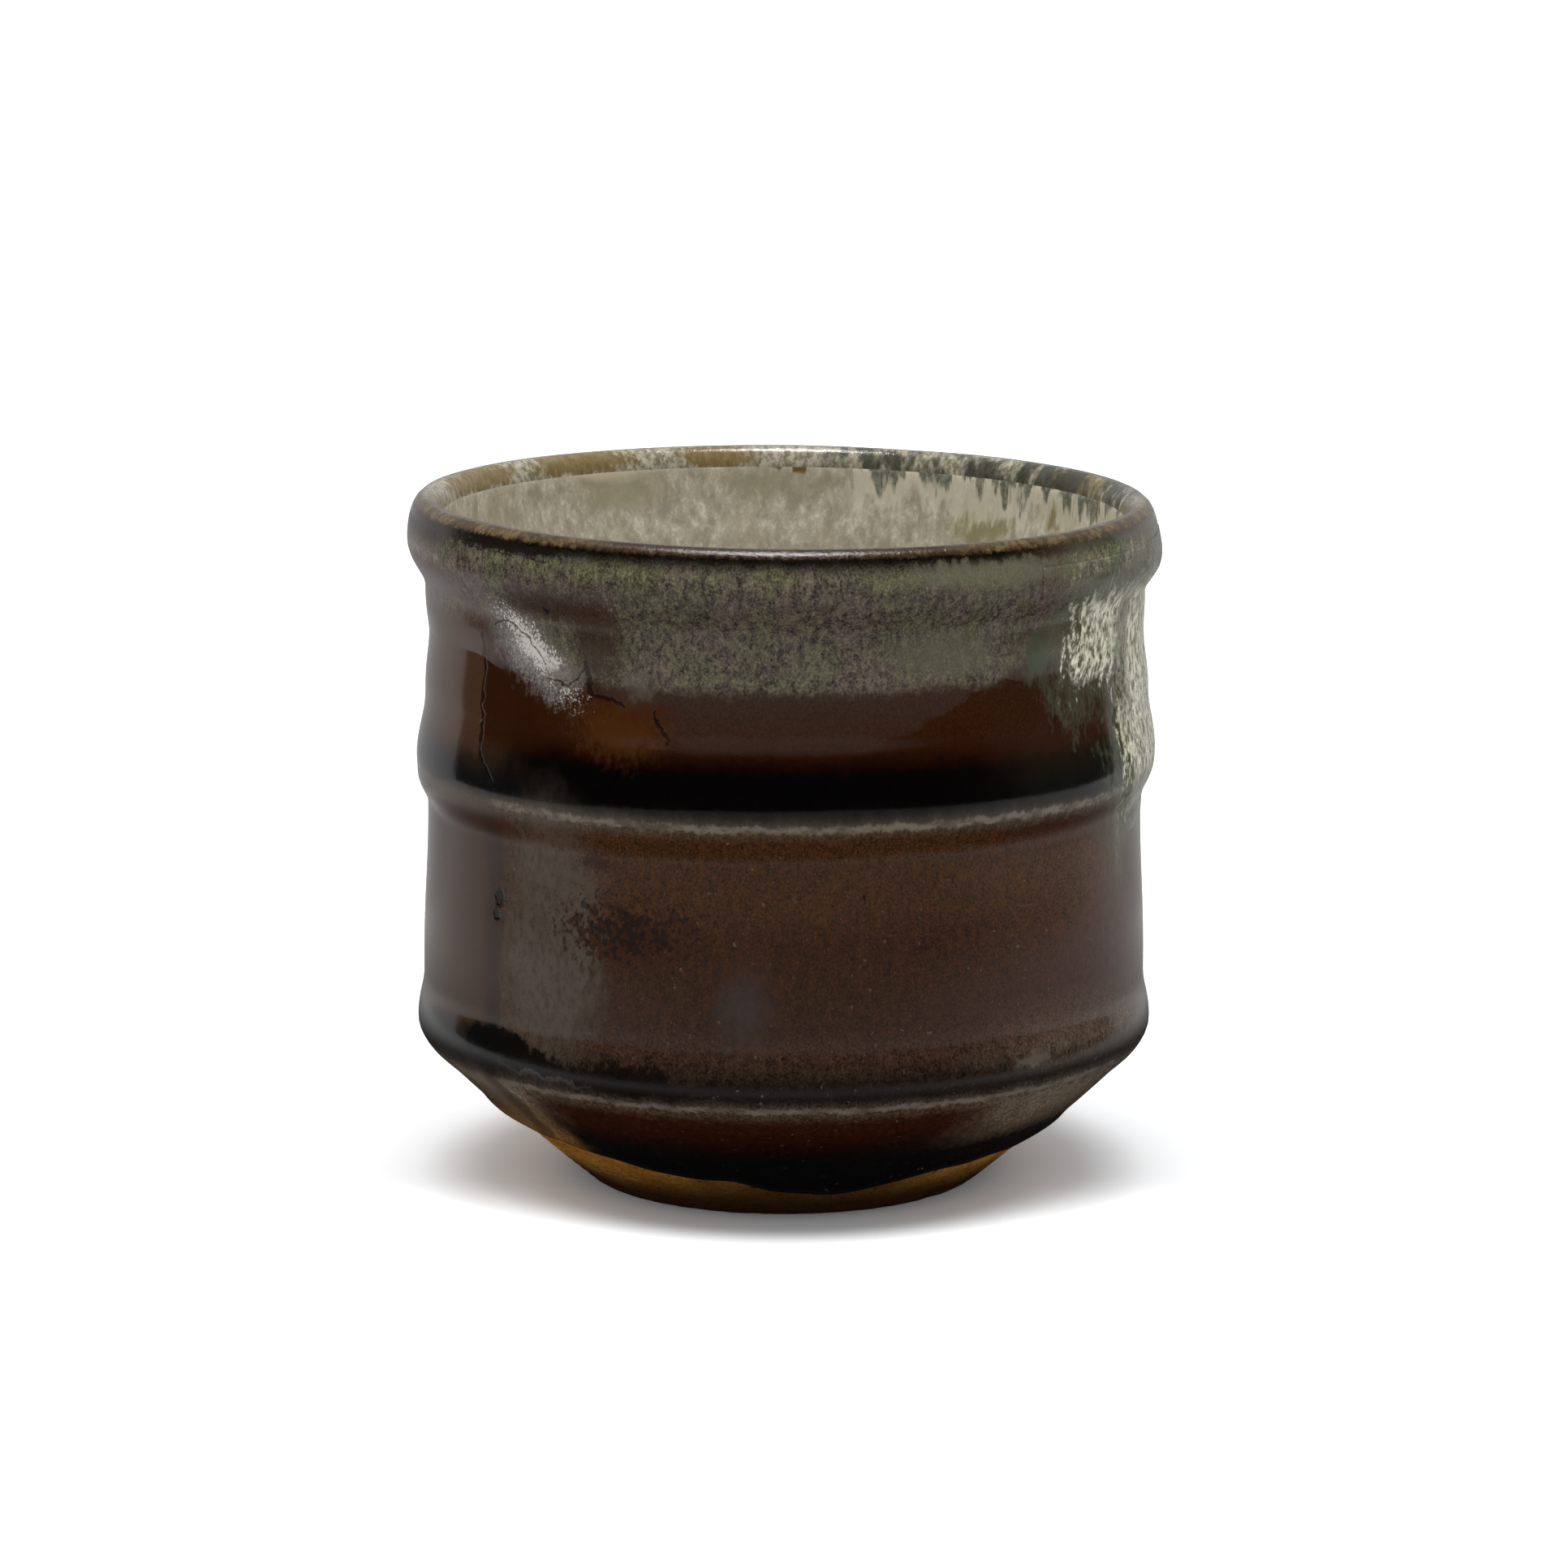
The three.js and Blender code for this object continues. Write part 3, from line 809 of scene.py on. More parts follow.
LEFT_BANDS = [
    (6.2, (0.200, 0.095, 0.020)), (7.6, (0.130, 0.074, 0.030)), (10.0, (0.120, 0.085, 0.055)),
    (11.0, (0.175, 0.140, 0.100)), (11.7, (0.120, 0.094, 0.068)), (12.4, (0.034, 0.028, 0.022)),
    (13.4, (0.004, 0.004, 0.003)), (15.0, (0.012, 0.011, 0.008)), (16.2, (0.035, 0.018, 0.008)),
    (20.0, (0.034, 0.012, 0.003)), (27.0, (0.036, 0.014, 0.004)), (33.2, (0.028, 0.008, 0.002)),
    (34.4, (0.055, 0.034, 0.018)), (35.2, (0.004, 0.004, 0.004)), (36.4, (0.006, 0.006, 0.006)),
    (38.0, (0.024, 0.013, 0.008)), (39.5, (0.036, 0.012, 0.005)), (44.0, (0.042, 0.015, 0.006)),
    (47.5, (0.038, 0.015, 0.006)), (49.0, (0.074, 0.053, 0.042)), (50.0, (0.040, 0.020, 0.010)),
    (52.2, (0.040, 0.020, 0.010)), (53.0, (0.125, 0.100, 0.080)), (53.6, (0.065, 0.048, 0.038)),
    (54.3, (0.026, 0.016, 0.010)), (55.4, (0.020, 0.012, 0.007)),
]
RIGHT_BANDS = [
    (6.6, (0.004, 0.001, 0.001)), (8.0, (0.080, 0.054, 0.034)), (9.5, (0.120, 0.090, 0.062)),
    (11.0, (0.130, 0.100, 0.072)), (12.0, (0.056, 0.048, 0.038)), (13.0, (0.010, 0.007, 0.005)),
    (14.2, (0.026, 0.015, 0.008)), (15.2, (0.072, 0.052, 0.038)), (16.6, (0.056, 0.034, 0.021)),
    (20.0, (0.028, 0.006, 0.001)), (25.0, (0.038, 0.013, 0.003)), (30.0, (0.048, 0.020, 0.006)),
    (33.2, (0.024, 0.006, 0.001)), (34.2, (0.046, 0.034, 0.020)), (35.4, (0.004, 0.004, 0.003)),
    (36.6, (0.006, 0.006, 0.005)), (38.4, (0.012, 0.008, 0.005)), (39.6, (0.030, 0.011, 0.005)),
    (43.0, (0.030, 0.011, 0.004)), (45.6, (0.028, 0.013, 0.007)), (47.2, (0.074, 0.066, 0.042)),
    (50.0, (0.044, 0.037, 0.020)), (52.2, (0.072, 0.066, 0.046)), (53.0, (0.165, 0.155, 0.112)),
    (54.3, (0.135, 0.131, 0.086)), (55.0, (0.074, 0.070, 0.047)), (55.5, (0.050, 0.045, 0.028)),
]
# The two darkest stops at the top, at 55.15 and 55.45 mm, are a dark line of painted shade under the
# crown.
ASH_BANDS = [
    (44.6, (0.052, 0.040, 0.029)), (45.6, (0.072, 0.061, 0.043)), (49.2, (0.064, 0.056, 0.040)),
    (50.4, (0.058, 0.048, 0.036)), (52.6, (0.058, 0.048, 0.036)), (53.4, (0.074, 0.067, 0.046)),
    (54.2, (0.090, 0.086, 0.055)), (54.8, (0.052, 0.050, 0.034)), (55.15, (0.016, 0.015, 0.010)),
    (55.45, (0.003, 0.002, 0.001)),
]


# %% Noises and places of the outside
outside = glaze_group("outside_of_the_cup")
paint = Brushes(outside)
runs = paint.noise(0.6, 0.2, 3, seed=3)
grain = paint.noise(5.2, 4.6, 3, seed=9, roughness=0.7)
grit = paint.noise(2.3, 2.0, 2, seed=17)
flecks = paint.noise(1.9, 1.15, 4, seed=21, roughness=0.7)
clouds = paint.noise(0.30, 0.22, 3, seed=5)
curdle = paint.noise(1.1, 0.8, 3, seed=31, roughness=0.6)

ragged_height = paint.nudge(paint.nudge(paint.height, runs, 0.7), flecks, 0.9)
ragged_angle = paint.nudge(paint.angle, clouds, 14)
flat = paint.sway(paint.angle, paint.height)
torn_flat = paint.fray(flat, 0.8, 2.4, 14)
soft_flat = paint.fray(flat, 0.35, 5.0, 24)

# %% Blend the bands round the cup
to_left = paint.level(ragged_angle, -38, -51)
to_right = paint.level(ragged_angle, 24, 48)
behind = paint.level(ragged_angle, 120, 160)
to_right = paint.math("SUBTRACT", to_right, behind, clamp=True)
to_left = paint.math("ADD", to_left, behind, clamp=True)
colour = paint.bands(ragged_height, FRONT_BANDS)
colour = paint.mix(to_left, colour, paint.bands(ragged_height, LEFT_BANDS))
colour = paint.mix(to_right, colour, paint.bands(ragged_height, RIGHT_BANDS))
print("bands:", len(FRONT_BANDS), len(LEFT_BANDS), len(RIGHT_BANDS))

# %% [markdown]
# ## Where coats end
#
# A thin skin of the dip ran on past its edge and left a brown veil over the amber, with a torn outline
# and a red rim below. Above it the dip itself begins. Both outlines are straight slanting lines that a
# torn noise has broken, which is how molten glaze stops.

# %% The brown veil and the thin dip at the front
veil = paint.math("MINIMUM", paint.beyond(torn_flat, (0, 40.3), 0),
                  paint.beyond(torn_flat, (-14.5, 40.2), -30))
veil = paint.math("MINIMUM", veil, paint.beyond(torn_flat, (13, 40.2), 25))
veil_colour = paint.bands(paint.height, [
    (40.3, (0.027, 0.006, 0.001)), (42.0, (0.036, 0.016, 0.010)), (44.4, (0.039, 0.021, 0.015)),
])
front = paint.window(paint.angle, -48, -40, 42, 50)
colour = paint.mix(paint.times(paint.level(veil, -0.1, 0.35), front), colour, veil_colour)

fringe_flat = paint.fray(flat, 1.4, 2.2, 34)
ash = paint.math("MINIMUM", paint.beyond(fringe_flat, (0, 44.7), 0),
                 paint.beyond(fringe_flat, (-36, 44.5), -27))
ash = paint.math("MINIMUM", ash, paint.beyond(fringe_flat, (35, 44.7), 32))
near_front = paint.window(ragged_angle, -66, -54, 34, 50)
ash = paint.times(paint.level(ash, -0.35, 0.7), near_front)
colour = paint.mix(ash, colour, paint.bands(ragged_height, ASH_BANDS))

# %% [markdown]
# ## Mottles
#
# Ash glaze curdles into fine flecks as it cools. Between the bead and the dip's edge it is a mixture
# of purple-grey and olive clouds. On the brown wall there is a fine warm grain, with a few pale specks
# of ash, and it stops sharply on the left, where the wall is smooth.

# %% Mottle the ash and grain the wall
ashy = paint.window(paint.height, 46.5, 49.5, 54.8, 55.3)
ashy = paint.largest(ash, ashy)
hue = paint.math("ADD", paint.times(clouds, 0.55), paint.times(flecks, 0.45))
olive_tint = paint.mix(paint.level(hue, 0.44, 0.57), (1.10, 0.96, 1.04), (1.0, 1.05, 0.86))
colour = paint.mix(ashy, colour, paint.vector("MULTIPLY", colour, olive_tint))
mottle = paint.level(flecks, 0.37, 0.64, -0.38, 0.55)
fine_mottle = paint.level(grain, 0.32, 0.7, -0.3, 0.4)
mottle = paint.math("ADD", mottle, fine_mottle)
smooth_left = paint.level(paint.math("MULTIPLY_ADD", curdle, 5, paint.angle), -48, -45.5)
wall = paint.times(paint.level(paint.height, 35.5, 34), smooth_left)
grain_amount = paint.largest(wall, 0.35)
wall_grain = paint.times(paint.level(grain, 0.3, 0.72, -0.5, 0.75), grain_amount)
factor = paint.math("ADD", paint.math("MULTIPLY_ADD", mottle, ashy, 1), wall_grain)
wall_clouds = paint.times(paint.level(flecks, 0.36, 0.64, -0.2, 0.28), wall)
colour = paint.vector("SCALE", colour, scale=paint.math("ADD", factor, wall_clouds))
speck = paint.times(paint.level(grit, 0.67, 0.77, 0, 0.45), wall)
colour = paint.mix(speck, colour, (0.125, 0.105, 0.085))

# %% [markdown]
# ## Single events
#
# Every firing leaves marks that happen once, and a few marks here are light and shade mirrored in the
# glaze and painted in. Each is one soft patch at its own angle and height, with noise that frays its
# edge: a lavender patch with a thin crack above it and a painted highlight on its middle, a rust scar
# on the wall, a black patch on the shoulder that is a painted reflection of the dark room, an amber
# glow. Where the wall turns over a crest, the glaze broke into a thin pale line, which a painted
# reflection of the white floor makes brighter.

# %% Patches on the wall and the shoulder
def lay(colour_in, over, angle, height, wide, tall, strength=1.0, ragged=None, **shape):
    """Lays one ragged patch of colour on the outside."""
    amount = paint.patch(torn_flat, angle, height, wide, tall, ragged or grain, **shape)
    if strength != 1:
        amount = paint.times(amount, strength)
    return paint.mix(amount, colour_in, over)


grey_side = paint.patch(soft_flat, -38.5, 24, 9.5, 21, edge=0.4)
grey_side = paint.times(grey_side, smooth_left)
grey_side = paint.times(grey_side, paint.level(flecks, 0.3, 0.62, 0.35, 0.85))
colour = paint.mix(grey_side, colour, (0.066, 0.051, 0.038))
# Painted shade: a dark purple strip on the lower wall, just right of where the mirrored backdrop ends.
mirror_edge_shade = paint.times(paint.level(paint.angle, -55, -52), paint.level(smooth_left, 1, 0))
mirror_edge_shade = paint.times(mirror_edge_shade, paint.level(paint.height, 33, 31))
colour = paint.mix(paint.times(mirror_edge_shade, 0.5), colour, (0.008, 0.003, 0.004))
colour = lay(colour, (0.030, 0.008, 0.001), -24, 25.3, 8.5, 4.0, 1.0, flecks, roughness=2.4, edge=0.25)
colour = lay(colour, (0.004, 0.001, 0.001), -24.5, 25.6, 6.0, 2.6, 0.7, grit, roughness=5.0, edge=0.2)
colour = lay(colour, (0.022, 0.006, 0.001), -30, 31, 2.6, 1.3, 0.9, roughness=1.6)
# The next two patches, the black patch on the shoulder and its slanting tail, are a painted reflection
# of the dark room.
colour = lay(
    colour, (0.003, 0.003, 0.003), -50.5, 15.0, 7.6, 2.7, 0.97, curdle, edge=0.12, roughness=0.3)
colour = lay(colour, (0.004, 0.003, 0.002), -41, 14.3, 11, 1.7, 0.95, curdle, edge=0.3, lean=-8)
colour = lay(colour, (0.004, 0.003, 0.002), -24, 13.9, 8, 2.6, 0.8, flecks, roughness=1.4)
# The thin pale line under the tail is a painted highlight.
colour = lay(colour, (0.040, 0.040, 0.037), -39, 13.25, 8.0, 0.4, 0.8, edge=0.5, lean=-4, roughness=0.2)
colour = lay(colour, (0.044, 0.041, 0.044), -6, 20.2, 3.2, 4.8, 0.4, grain, roughness=2.6, edge=0.7)
colour = lay(colour, (0.100, 0.088, 0.070), 41, 14.4, 4.0, 1.0, 0.7, roughness=0.9)

# %% Patches in the thin dip
# Left of the backdrop's mirrored edge the amber glaze is brightened by a painted reflection; right of
# it, painted shade darkens the wall where nothing bright is mirrored.
left_amber_and_reflection = paint.window(paint.angle, -76, -62, -54.8, -53.2)
left_amber_and_reflection = paint.times(left_amber_and_reflection, paint.window(ragged_height, 37.4, 39, 46.8, 49.4))
colour = paint.mix(paint.times(left_amber_and_reflection, 0.8), colour, (0.062, 0.030, 0.016))
unmirrored_shade = paint.window(paint.angle, -54.8, -53.2, -43, -37)
unmirrored_shade = paint.times(unmirrored_shade, paint.window(ragged_height, 38.2, 40, 45.0, 46.8))
colour = paint.mix(paint.times(unmirrored_shade, 0.75), colour, (0.022, 0.005, 0.001))
colour = lay(colour, (0.026, 0.008, 0.003), -37, 50.9, 9.0, 2.8, 0.8, edge=0.6)
colour = lay(colour, (0.032, 0.014, 0.006), -29.5, 48.6, 4.4, 7.2, 0.85, edge=0.6)
colour = lay(colour, (0.095, 0.080, 0.074), -43, 46.7, 10.0, 4.6, 0.95, flecks, lean=-33, roughness=1.0)
# The two paler layers in the middle of the lavender patch are a painted highlight on its raised middle.
colour = lay(colour, (0.200, 0.185, 0.170), -42.0, 46.8, 8.4, 3.2, 0.85, grain, lean=-36, roughness=2.2)
colour = lay(colour, (0.560, 0.520, 0.480), -41.0, 47.0, 7.0, 1.8, 0.9, grain, lean=-40, roughness=2.6)
colour = lay(colour, (0.100, 0.078, 0.066), -35.5, 45.3, 3.6, 2.0, 0.85, curdle, roughness=0.8)
colour = lay(colour, (0.092, 0.076, 0.060), -22.5, 45.2, 2.4, 2.2, 0.6, curdle)
colour = lay(colour, (0.096, 0.092, 0.054), 25, 47.6, 7.5, 3.2, 0.6, flecks, edge=0.6, roughness=1.2)
colour = lay(colour, (0.046, 0.056, 0.030), 43, 46.8, 2.6, 4.4, 0.8, flecks, roughness=1.2)
colour = lay(colour, (0.135, 0.130, 0.084), 33, 54.0, 16, 1.9, 0.7, flecks, edge=0.5, roughness=1.2)
colour = lay(colour, (0.010, 0.006, 0.004), -46, 55.05, 12.5, 1.0, 0.9, grain, edge=0.25, roughness=0.4)
colour = lay(colour, (0.070, 0.023, 0.004), -25.5, 41.6, 6.4, 4.2, 0.7, flecks, edge=0.7, roughness=1.2)
colour = lay(colour, (0.045, 0.012, 0.002), -20.5, 43.0, 3.6, 1.4, 0.6, clouds, edge=0.5)

# %% Pale broken lines on the rib and on the shoulder
dashes = paint.noise(0.5, 1.2, 3, seed=63, roughness=0.65)
# Each crest line is partly the glaze breaking thin over the edge and partly a painted reflection of the
# white floor below.
for crest, wide, strength in ((34.45, 0.34, 0.95), (12.0, 0.3, 0.85)):
    off_crest = paint.math("ABSOLUTE", paint.math("SUBTRACT", ragged_height, crest))
    pale_crest_and_reflection = paint.times(paint.level(off_crest, wide * 1.3, wide * 0.3),
                            paint.level(dashes, 0.36, 0.58, 0.25, strength))
    pale_crest_and_reflection = paint.times(pale_crest_and_reflection, paint.level(paint.angle, -52, -46))
    colour = paint.mix(pale_crest_and_reflection, colour, (0.135, 0.112, 0.088))

# %% Cracks, pinholes and a painted reflection edge
crack_flat = paint.fray(flat, 0.9, 1.3, 44)


def thread(x1, z1, x2, z2, wide):
    """A thin dark line between two places given as angle and height."""
    ends = [(math.radians(x) * WALL, z) for x, z in ((x1, z1), (x2, z2))]
    length = math.dist(*ends)
    lean = math.atan2(ends[1][1] - ends[0][1], ends[1][0] - ends[0][0])
    centred = paint.vector("SUBTRACT", crack_flat, (*(np.mean(ends, 0)), 0.0))
    turned = paint.node("ShaderNodeVectorRotate", {"Vector": centred, "Angle": -lean},
                        rotation_type="Z_AXIS").outputs[0]
    past_end = paint.vector("MAXIMUM", paint.vector("ABSOLUTE", turned), (length / 2, 0, 0))
    off_line = paint.vector("LENGTH", paint.vector("SUBTRACT", past_end, (length / 2, 0, 0)))
    return paint.level(off_line, wide, wide * 0.35)


# Besides real cracks, the dark line at -54 degrees with its rounded turn at the foot is painted: it is
# the dark edge where the mirrored backdrop ends.
cracks_and_mirror_edge = paint.largest(*(thread(*ends) for ends in (
    (-50.5, 48.4, -47, 49.0, 0.13), (-47, 49.0, -42.5, 47.9, 0.14), (-42.5, 47.9, -39.5, 46.0, 0.10),
    (-39, 44.9, -35, 44.6, 0.11), (-35, 44.6, -32.0, 46.0, 0.11), (-31.6, 46.6, -30.8, 44.3, 0.36),
    (-31.0, 44.3, -25, 43.7, 0.20), (-20, 43.2, -18, 41.0, 0.24),
    (-54, 47.6, -54, 38.0, 0.32), (-54, 38.0, -50, 36.2, 0.24),
    (-57, 55.5, -56, 54.7, 0.12), (-56, 54.7, -36, 54.35, 0.10),
)))
colour = paint.mix(paint.times(cracks_and_mirror_edge, 0.75), colour, (0.006, 0.002, 0.001))

pits = paint.largest(*(
    paint.patch(crack_flat, angle, height, size * 1.3, size * 2.0, edge=0.3)
    for angle, height, size in (
        (-50, 26.7, 0.75), (-50.4, 25.3, 0.55), (-38, 50.4, 0.35), (12, 29, 0.22),
    )
))
colour = paint.mix(pits, colour, (0.003, 0.001, 0.002))

# %% [markdown]
# ## The pour's colour
#
# Thick ash glaze is cream with fine dark olive flecks that are drawn downwards. Towards its edge it
# thins and turns green, because it takes iron from the glaze below. Its outline in colour is the same
# as the outline of the mesh, built again from nodes.

# %% Lay the pour and its green fringe
def patch_depth(flat_place, middle, half, corner):
    """The node twin of rounded_patch: how far a place is inside a round-cornered patch."""
    off = paint.vector("ABSOLUTE", paint.vector("SUBTRACT", flat_place, (*middle, 0.0)))
    past = paint.vector("SUBTRACT", off, (half[0] - corner, half[1] - corner, 0.0))
    outside_part = paint.vector("LENGTH", paint.vector("MAXIMUM", past, (0.0, 0.0, 0.0)))
    axes = paint.node("ShaderNodeSeparateXYZ", {0: past})
    inner = paint.math("MINIMUM", paint.largest(axes.outputs[0], axes.outputs[1]), 0)
    return paint.math("SUBTRACT", corner, paint.math("ADD", outside_part, inner))


pour_flat = paint.vector("SUBTRACT", flat, (POUR_MIDDLE * WALL, 0.0, 0.0))
depth = paint.largest(patch_depth(pour_flat, *POUR_PATCH), patch_depth(pour_flat, *POUR_TONGUE))
drawn = paint.noise(1.4, 0.5, 4, seed=41, roughness=0.66)
worms = paint.noise(2.6, 1.5, 3, seed=47, roughness=0.62)
drips = paint.noise(0.42, 0.07, 2, seed=49)
drip_reach = paint.level(paint.height, 45, 40, 0, 12)
depth = paint.nudge(depth, drips, drip_reach)
depth = paint.nudge(depth, drawn, 8)
depth = paint.nudge(depth, worms, 6)
fringe = paint.level(depth, -3.4, 0.6)
cream_amount = paint.level(depth, 0.2, 2.6)
thin_top = paint.level(ragged_height, 48.6, 52.0)
between = paint.patch(torn_flat, 66.5, 46.5, 2.6, 13, grain, edge=0.5)
thin_foot = paint.level(ragged_height, 36.6, 33.5)
thin = paint.largest(thin_top, thin_foot, between)
colour = paint.mix(paint.times(fringe, 0.85), colour, (0.062, 0.066, 0.040))
cream = paint.mix(paint.level(drawn, 0.34, 0.62), (0.20, 0.195, 0.125), (0.56, 0.54, 0.42))
cream = paint.mix(paint.level(worms, 0.52, 0.64, 0, 0.8), cream, (0.76, 0.73, 0.59))
cream = paint.mix(paint.level(worms, 0.49, 0.38, 0, 0.9), cream, (0.085, 0.088, 0.050))
cream = paint.mix(paint.times(thin, 0.75), cream, (0.105, 0.106, 0.070))
cream_amount = paint.times(cream_amount, paint.level(thin_foot, 0, 1, 1, 0.55))
colour = paint.mix(cream_amount, colour, cream)

# %% [markdown]
# ## The lip
#
# On the crown the glaze drew back from the edge, so it is thin and amber. The dip starts a millimetre
# below, after a dark line of painted shade.

# %% Lay the amber lip
across_square = paint.times(paint.x, paint.x)
radius = paint.math("SQRT", paint.math("MULTIPLY_ADD", paint.y, paint.y, across_square))
lip_height = paint.nudge(paint.height, flecks, 0.7)
amber = paint.mix(paint.level(flecks, 0.36, 0.64), (0.070, 0.038, 0.012), (0.165, 0.112, 0.050))
amber = paint.mix(paint.level(dashes, 0.42, 0.58, 0, 0.7), amber, (0.040, 0.020, 0.008))
centre_front = paint.level(paint.math("ABSOLUTE", ragged_angle), 34, 18)
amber = paint.mix(paint.times(centre_front, 0.8), amber, (0.034, 0.013, 0.003))
dark_back = paint.window(ragged_angle, 96, 112, 155, 170)
amber = paint.mix(paint.times(dark_back, 0.75), amber, (0.060, 0.052, 0.046))
on_crown = paint.level(lip_height, 55.5, 55.85)
inner_side = paint.times(paint.level(radius, 29.0, 28.5), paint.level(paint.height, 50, 51))
on_crown = paint.largest(on_crown, inner_side)
colour = paint.mix(on_crown, colour, amber)

# %% [markdown]
# Behind, the ash lining washed up over the inner half of the lip and left it cream, with gold where
# the coats mixed, and dark green on the right.

# %% Wash the inner half of the back lip with ash
from_back = paint.math("DEGREES", paint.math("ARCTAN2", paint.x, paint.y))
lip_flat = paint.fray(paint.sway(from_back, paint.height), 0.6, 2.6, 54)
wash = paint.mix(paint.level(flecks, 0.36, 0.62), (0.20, 0.175, 0.115), (0.52, 0.48, 0.37))
gold = paint.largest(*(
    paint.patch(lip_flat, angle, 55.6, wide, 2.2, flecks, edge=0.3)
    for angle, wide in ((-66, 12), (-38, 11), (-12, 7), (62, 10))
))
wash = paint.mix(paint.times(gold, 0.8), wash, (0.21, 0.140, 0.040))
green_side = paint.window(from_back, 4, 12, 80, 96)
green_streak = paint.times(green_side, paint.level(runs, 0.62, 0.44))
wash = paint.mix(paint.times(green_streak, 0.85), wash, (0.035, 0.040, 0.030))
wash_edge = paint.nudge(radius, flecks, 1.2)
washed = paint.times(paint.level(wash_edge, 29.75, 29.2), paint.level(paint.height, 50, 51))
at_back = paint.level(paint.math("ABSOLUTE", from_back), 108, 82)
colour = paint.mix(paint.times(washed, at_back), colour, wash)

# %% Gloss and relief of the outside
matt = paint.times(ashy, 0.12)
matt = paint.math("MULTIPLY_ADD", cream_amount, 0.12, matt)
roughness = paint.math("ADD", matt, paint.level(grain, 0.3, 0.7, 0.09, 0.16))
relief = paint.times(curdle, 0.35)
ash_relief = paint.times(flecks, paint.largest(ashy, cream_amount))
relief = paint.math("MULTIPLY_ADD", ash_relief, 0.6, relief)
relief = paint.math("MULTIPLY_ADD", paint.times(wall, grain), 0.35, relief)
relief = paint.math("MULTIPLY_ADD", paint.times(on_crown, flecks), 3.2, relief)
relief = paint.math("MULTIPLY_ADD", pits, -2, relief)
relief = paint.math("MULTIPLY_ADD", cracks_and_mirror_edge, -1.2, relief)
paint.node("NodeGroupOutput", {"Color": colour, "Roughness": roughness, "Relief": relief})
print("the outside uses", len(outside.nodes), "nodes")


# %% Finish materials from a group
def fired(name, group, relief_depth):
    """A glossy material that takes its colour, gloss and relief from a node group."""
    material = bpy.data.materials.new(name)
    material.use_nodes = True
    tree = material.node_tree
    surface = tree.nodes.new("ShaderNodeGroup")
    surface.node_tree = group
    shader = tree.nodes["Principled BSDF"]
    bump = tree.nodes.new("ShaderNodeBump")
    bump.inputs["Strength"].default_value = 1
    bump.inputs["Distance"].default_value = relief_depth
    tree.links.new(surface.outputs["Color"], shader.inputs["Base Color"])
    tree.links.new(surface.outputs["Roughness"], shader.inputs["Roughness"])
    tree.links.new(surface.outputs["Relief"], bump.inputs["Height"])
    tree.links.new(bump.outputs["Normal"], shader.inputs["Normal"])
    shader.inputs["IOR"].default_value = 1.5
    return material


GLAZE_RELIEF = 0.02 * MM
cup_iron_glaze.data.materials.append(fired("iron_glaze", outside, GLAZE_RELIEF))
cup_rim_dip.data.materials.append(fired("thin_ash_over_iron_glaze", outside, GLAZE_RELIEF))
cup_pour.data.materials.append(fired("cream_ash_glaze", outside, GLAZE_RELIEF))

# %% [markdown]
# ## The inside
#
# The ash glaze inside is thick and curdled: cream and grey-green cells, with ochre stains near the lip
# on one side and dark green runs on the other, where the iron glaze of the lip bled into it. In the
# bottom it pools, darker and glassier.

# %% Noises and curd of the lining
lining = glaze_group("inside_of_the_cup")
paint = Brushes(lining)
cells = paint.noise(0.8, 0.55, 4, seed=51, roughness=0.68)
fine_cells = paint.noise(2.4, 1.6, 3, seed=61, roughness=0.62)
clouds = paint.noise(0.17, 0.15, 2, seed=71)
runs = paint.noise(0.7, 0.16, 3, seed=81, roughness=0.62)
from_back = paint.math("DEGREES", paint.math("ARCTAN2", paint.x, paint.y))
flat = paint.fray(paint.sway(from_back, paint.height), 0.5, 2.6, 74)

curd = paint.mix(paint.level(cells, 0.34, 0.66), (0.40, 0.355, 0.265), (0.72, 0.66, 0.53))
curd = paint.mix(paint.level(fine_cells, 0.62, 0.44, 0, 0.45), curd, (0.36, 0.325, 0.235))
curd = paint.mix(paint.level(clouds, 0.45, 0.62, 0, 0.45), curd, (0.44, 0.39, 0.27))

# %% [markdown]
# The stains are patches again, placed by the angle from the back of the cup: olive and ochre clouds on
# the wall, a gold edge on the left, and on the right long green runs with cream between them.

# %% Stains and green runs of the lining
def stain(colour_in, over, angle, height, wide, tall, strength, ragged=None, **shape):
    """Lays one stain on the lining."""
    amount = paint.patch(flat, angle, height, wide, tall, ragged or cells, **shape)
    return paint.mix(paint.times(amount, strength), colour_in, over)


surface = stain(curd, (0.40, 0.36, 0.23), -31, 53.0, 8, 3.2, 0.7, edge=0.6)
surface = stain(surface, (0.36, 0.33, 0.22), -1, 53.2, 9, 3.0, 0.6, edge=0.6)
surface = stain(surface, (0.30, 0.26, 0.12), 38, 50.8, 6.5, 3.4, 0.85, edge=0.5)
surface = stain(surface, (0.27, 0.22, 0.09), 57, 52.3, 5.6, 2.8, 0.9, edge=0.4)
surface = stain(surface, (0.66, 0.58, 0.42), -33, 55.0, 9, 1.8, 0.7, edge=0.5)
for angle, wide in ((-63, 12.5), (-37, 10), (-4, 9)):
    surface = stain(surface, (0.25, 0.17, 0.040), angle, 55.5, wide, 1.2, 0.9, fine_cells)
for angle in (-1.5, 3):
    surface = stain(surface, (0.16, 0.085, 0.015), angle, 54.6, 0.9, 1.3, 0.95)
run_height = paint.nudge(paint.height, runs, 12)
on_right = paint.window(from_back, 9, 14, 80, 100)
pale_foot = paint.times(paint.level(run_height, 50.4, 52.6), on_right)
surface = paint.mix(paint.times(pale_foot, 0.7), surface, (0.74, 0.70, 0.56))
green = paint.mix(paint.level(fine_cells, 0.4, 0.6), (0.045, 0.060, 0.046), (0.20, 0.21, 0.15))
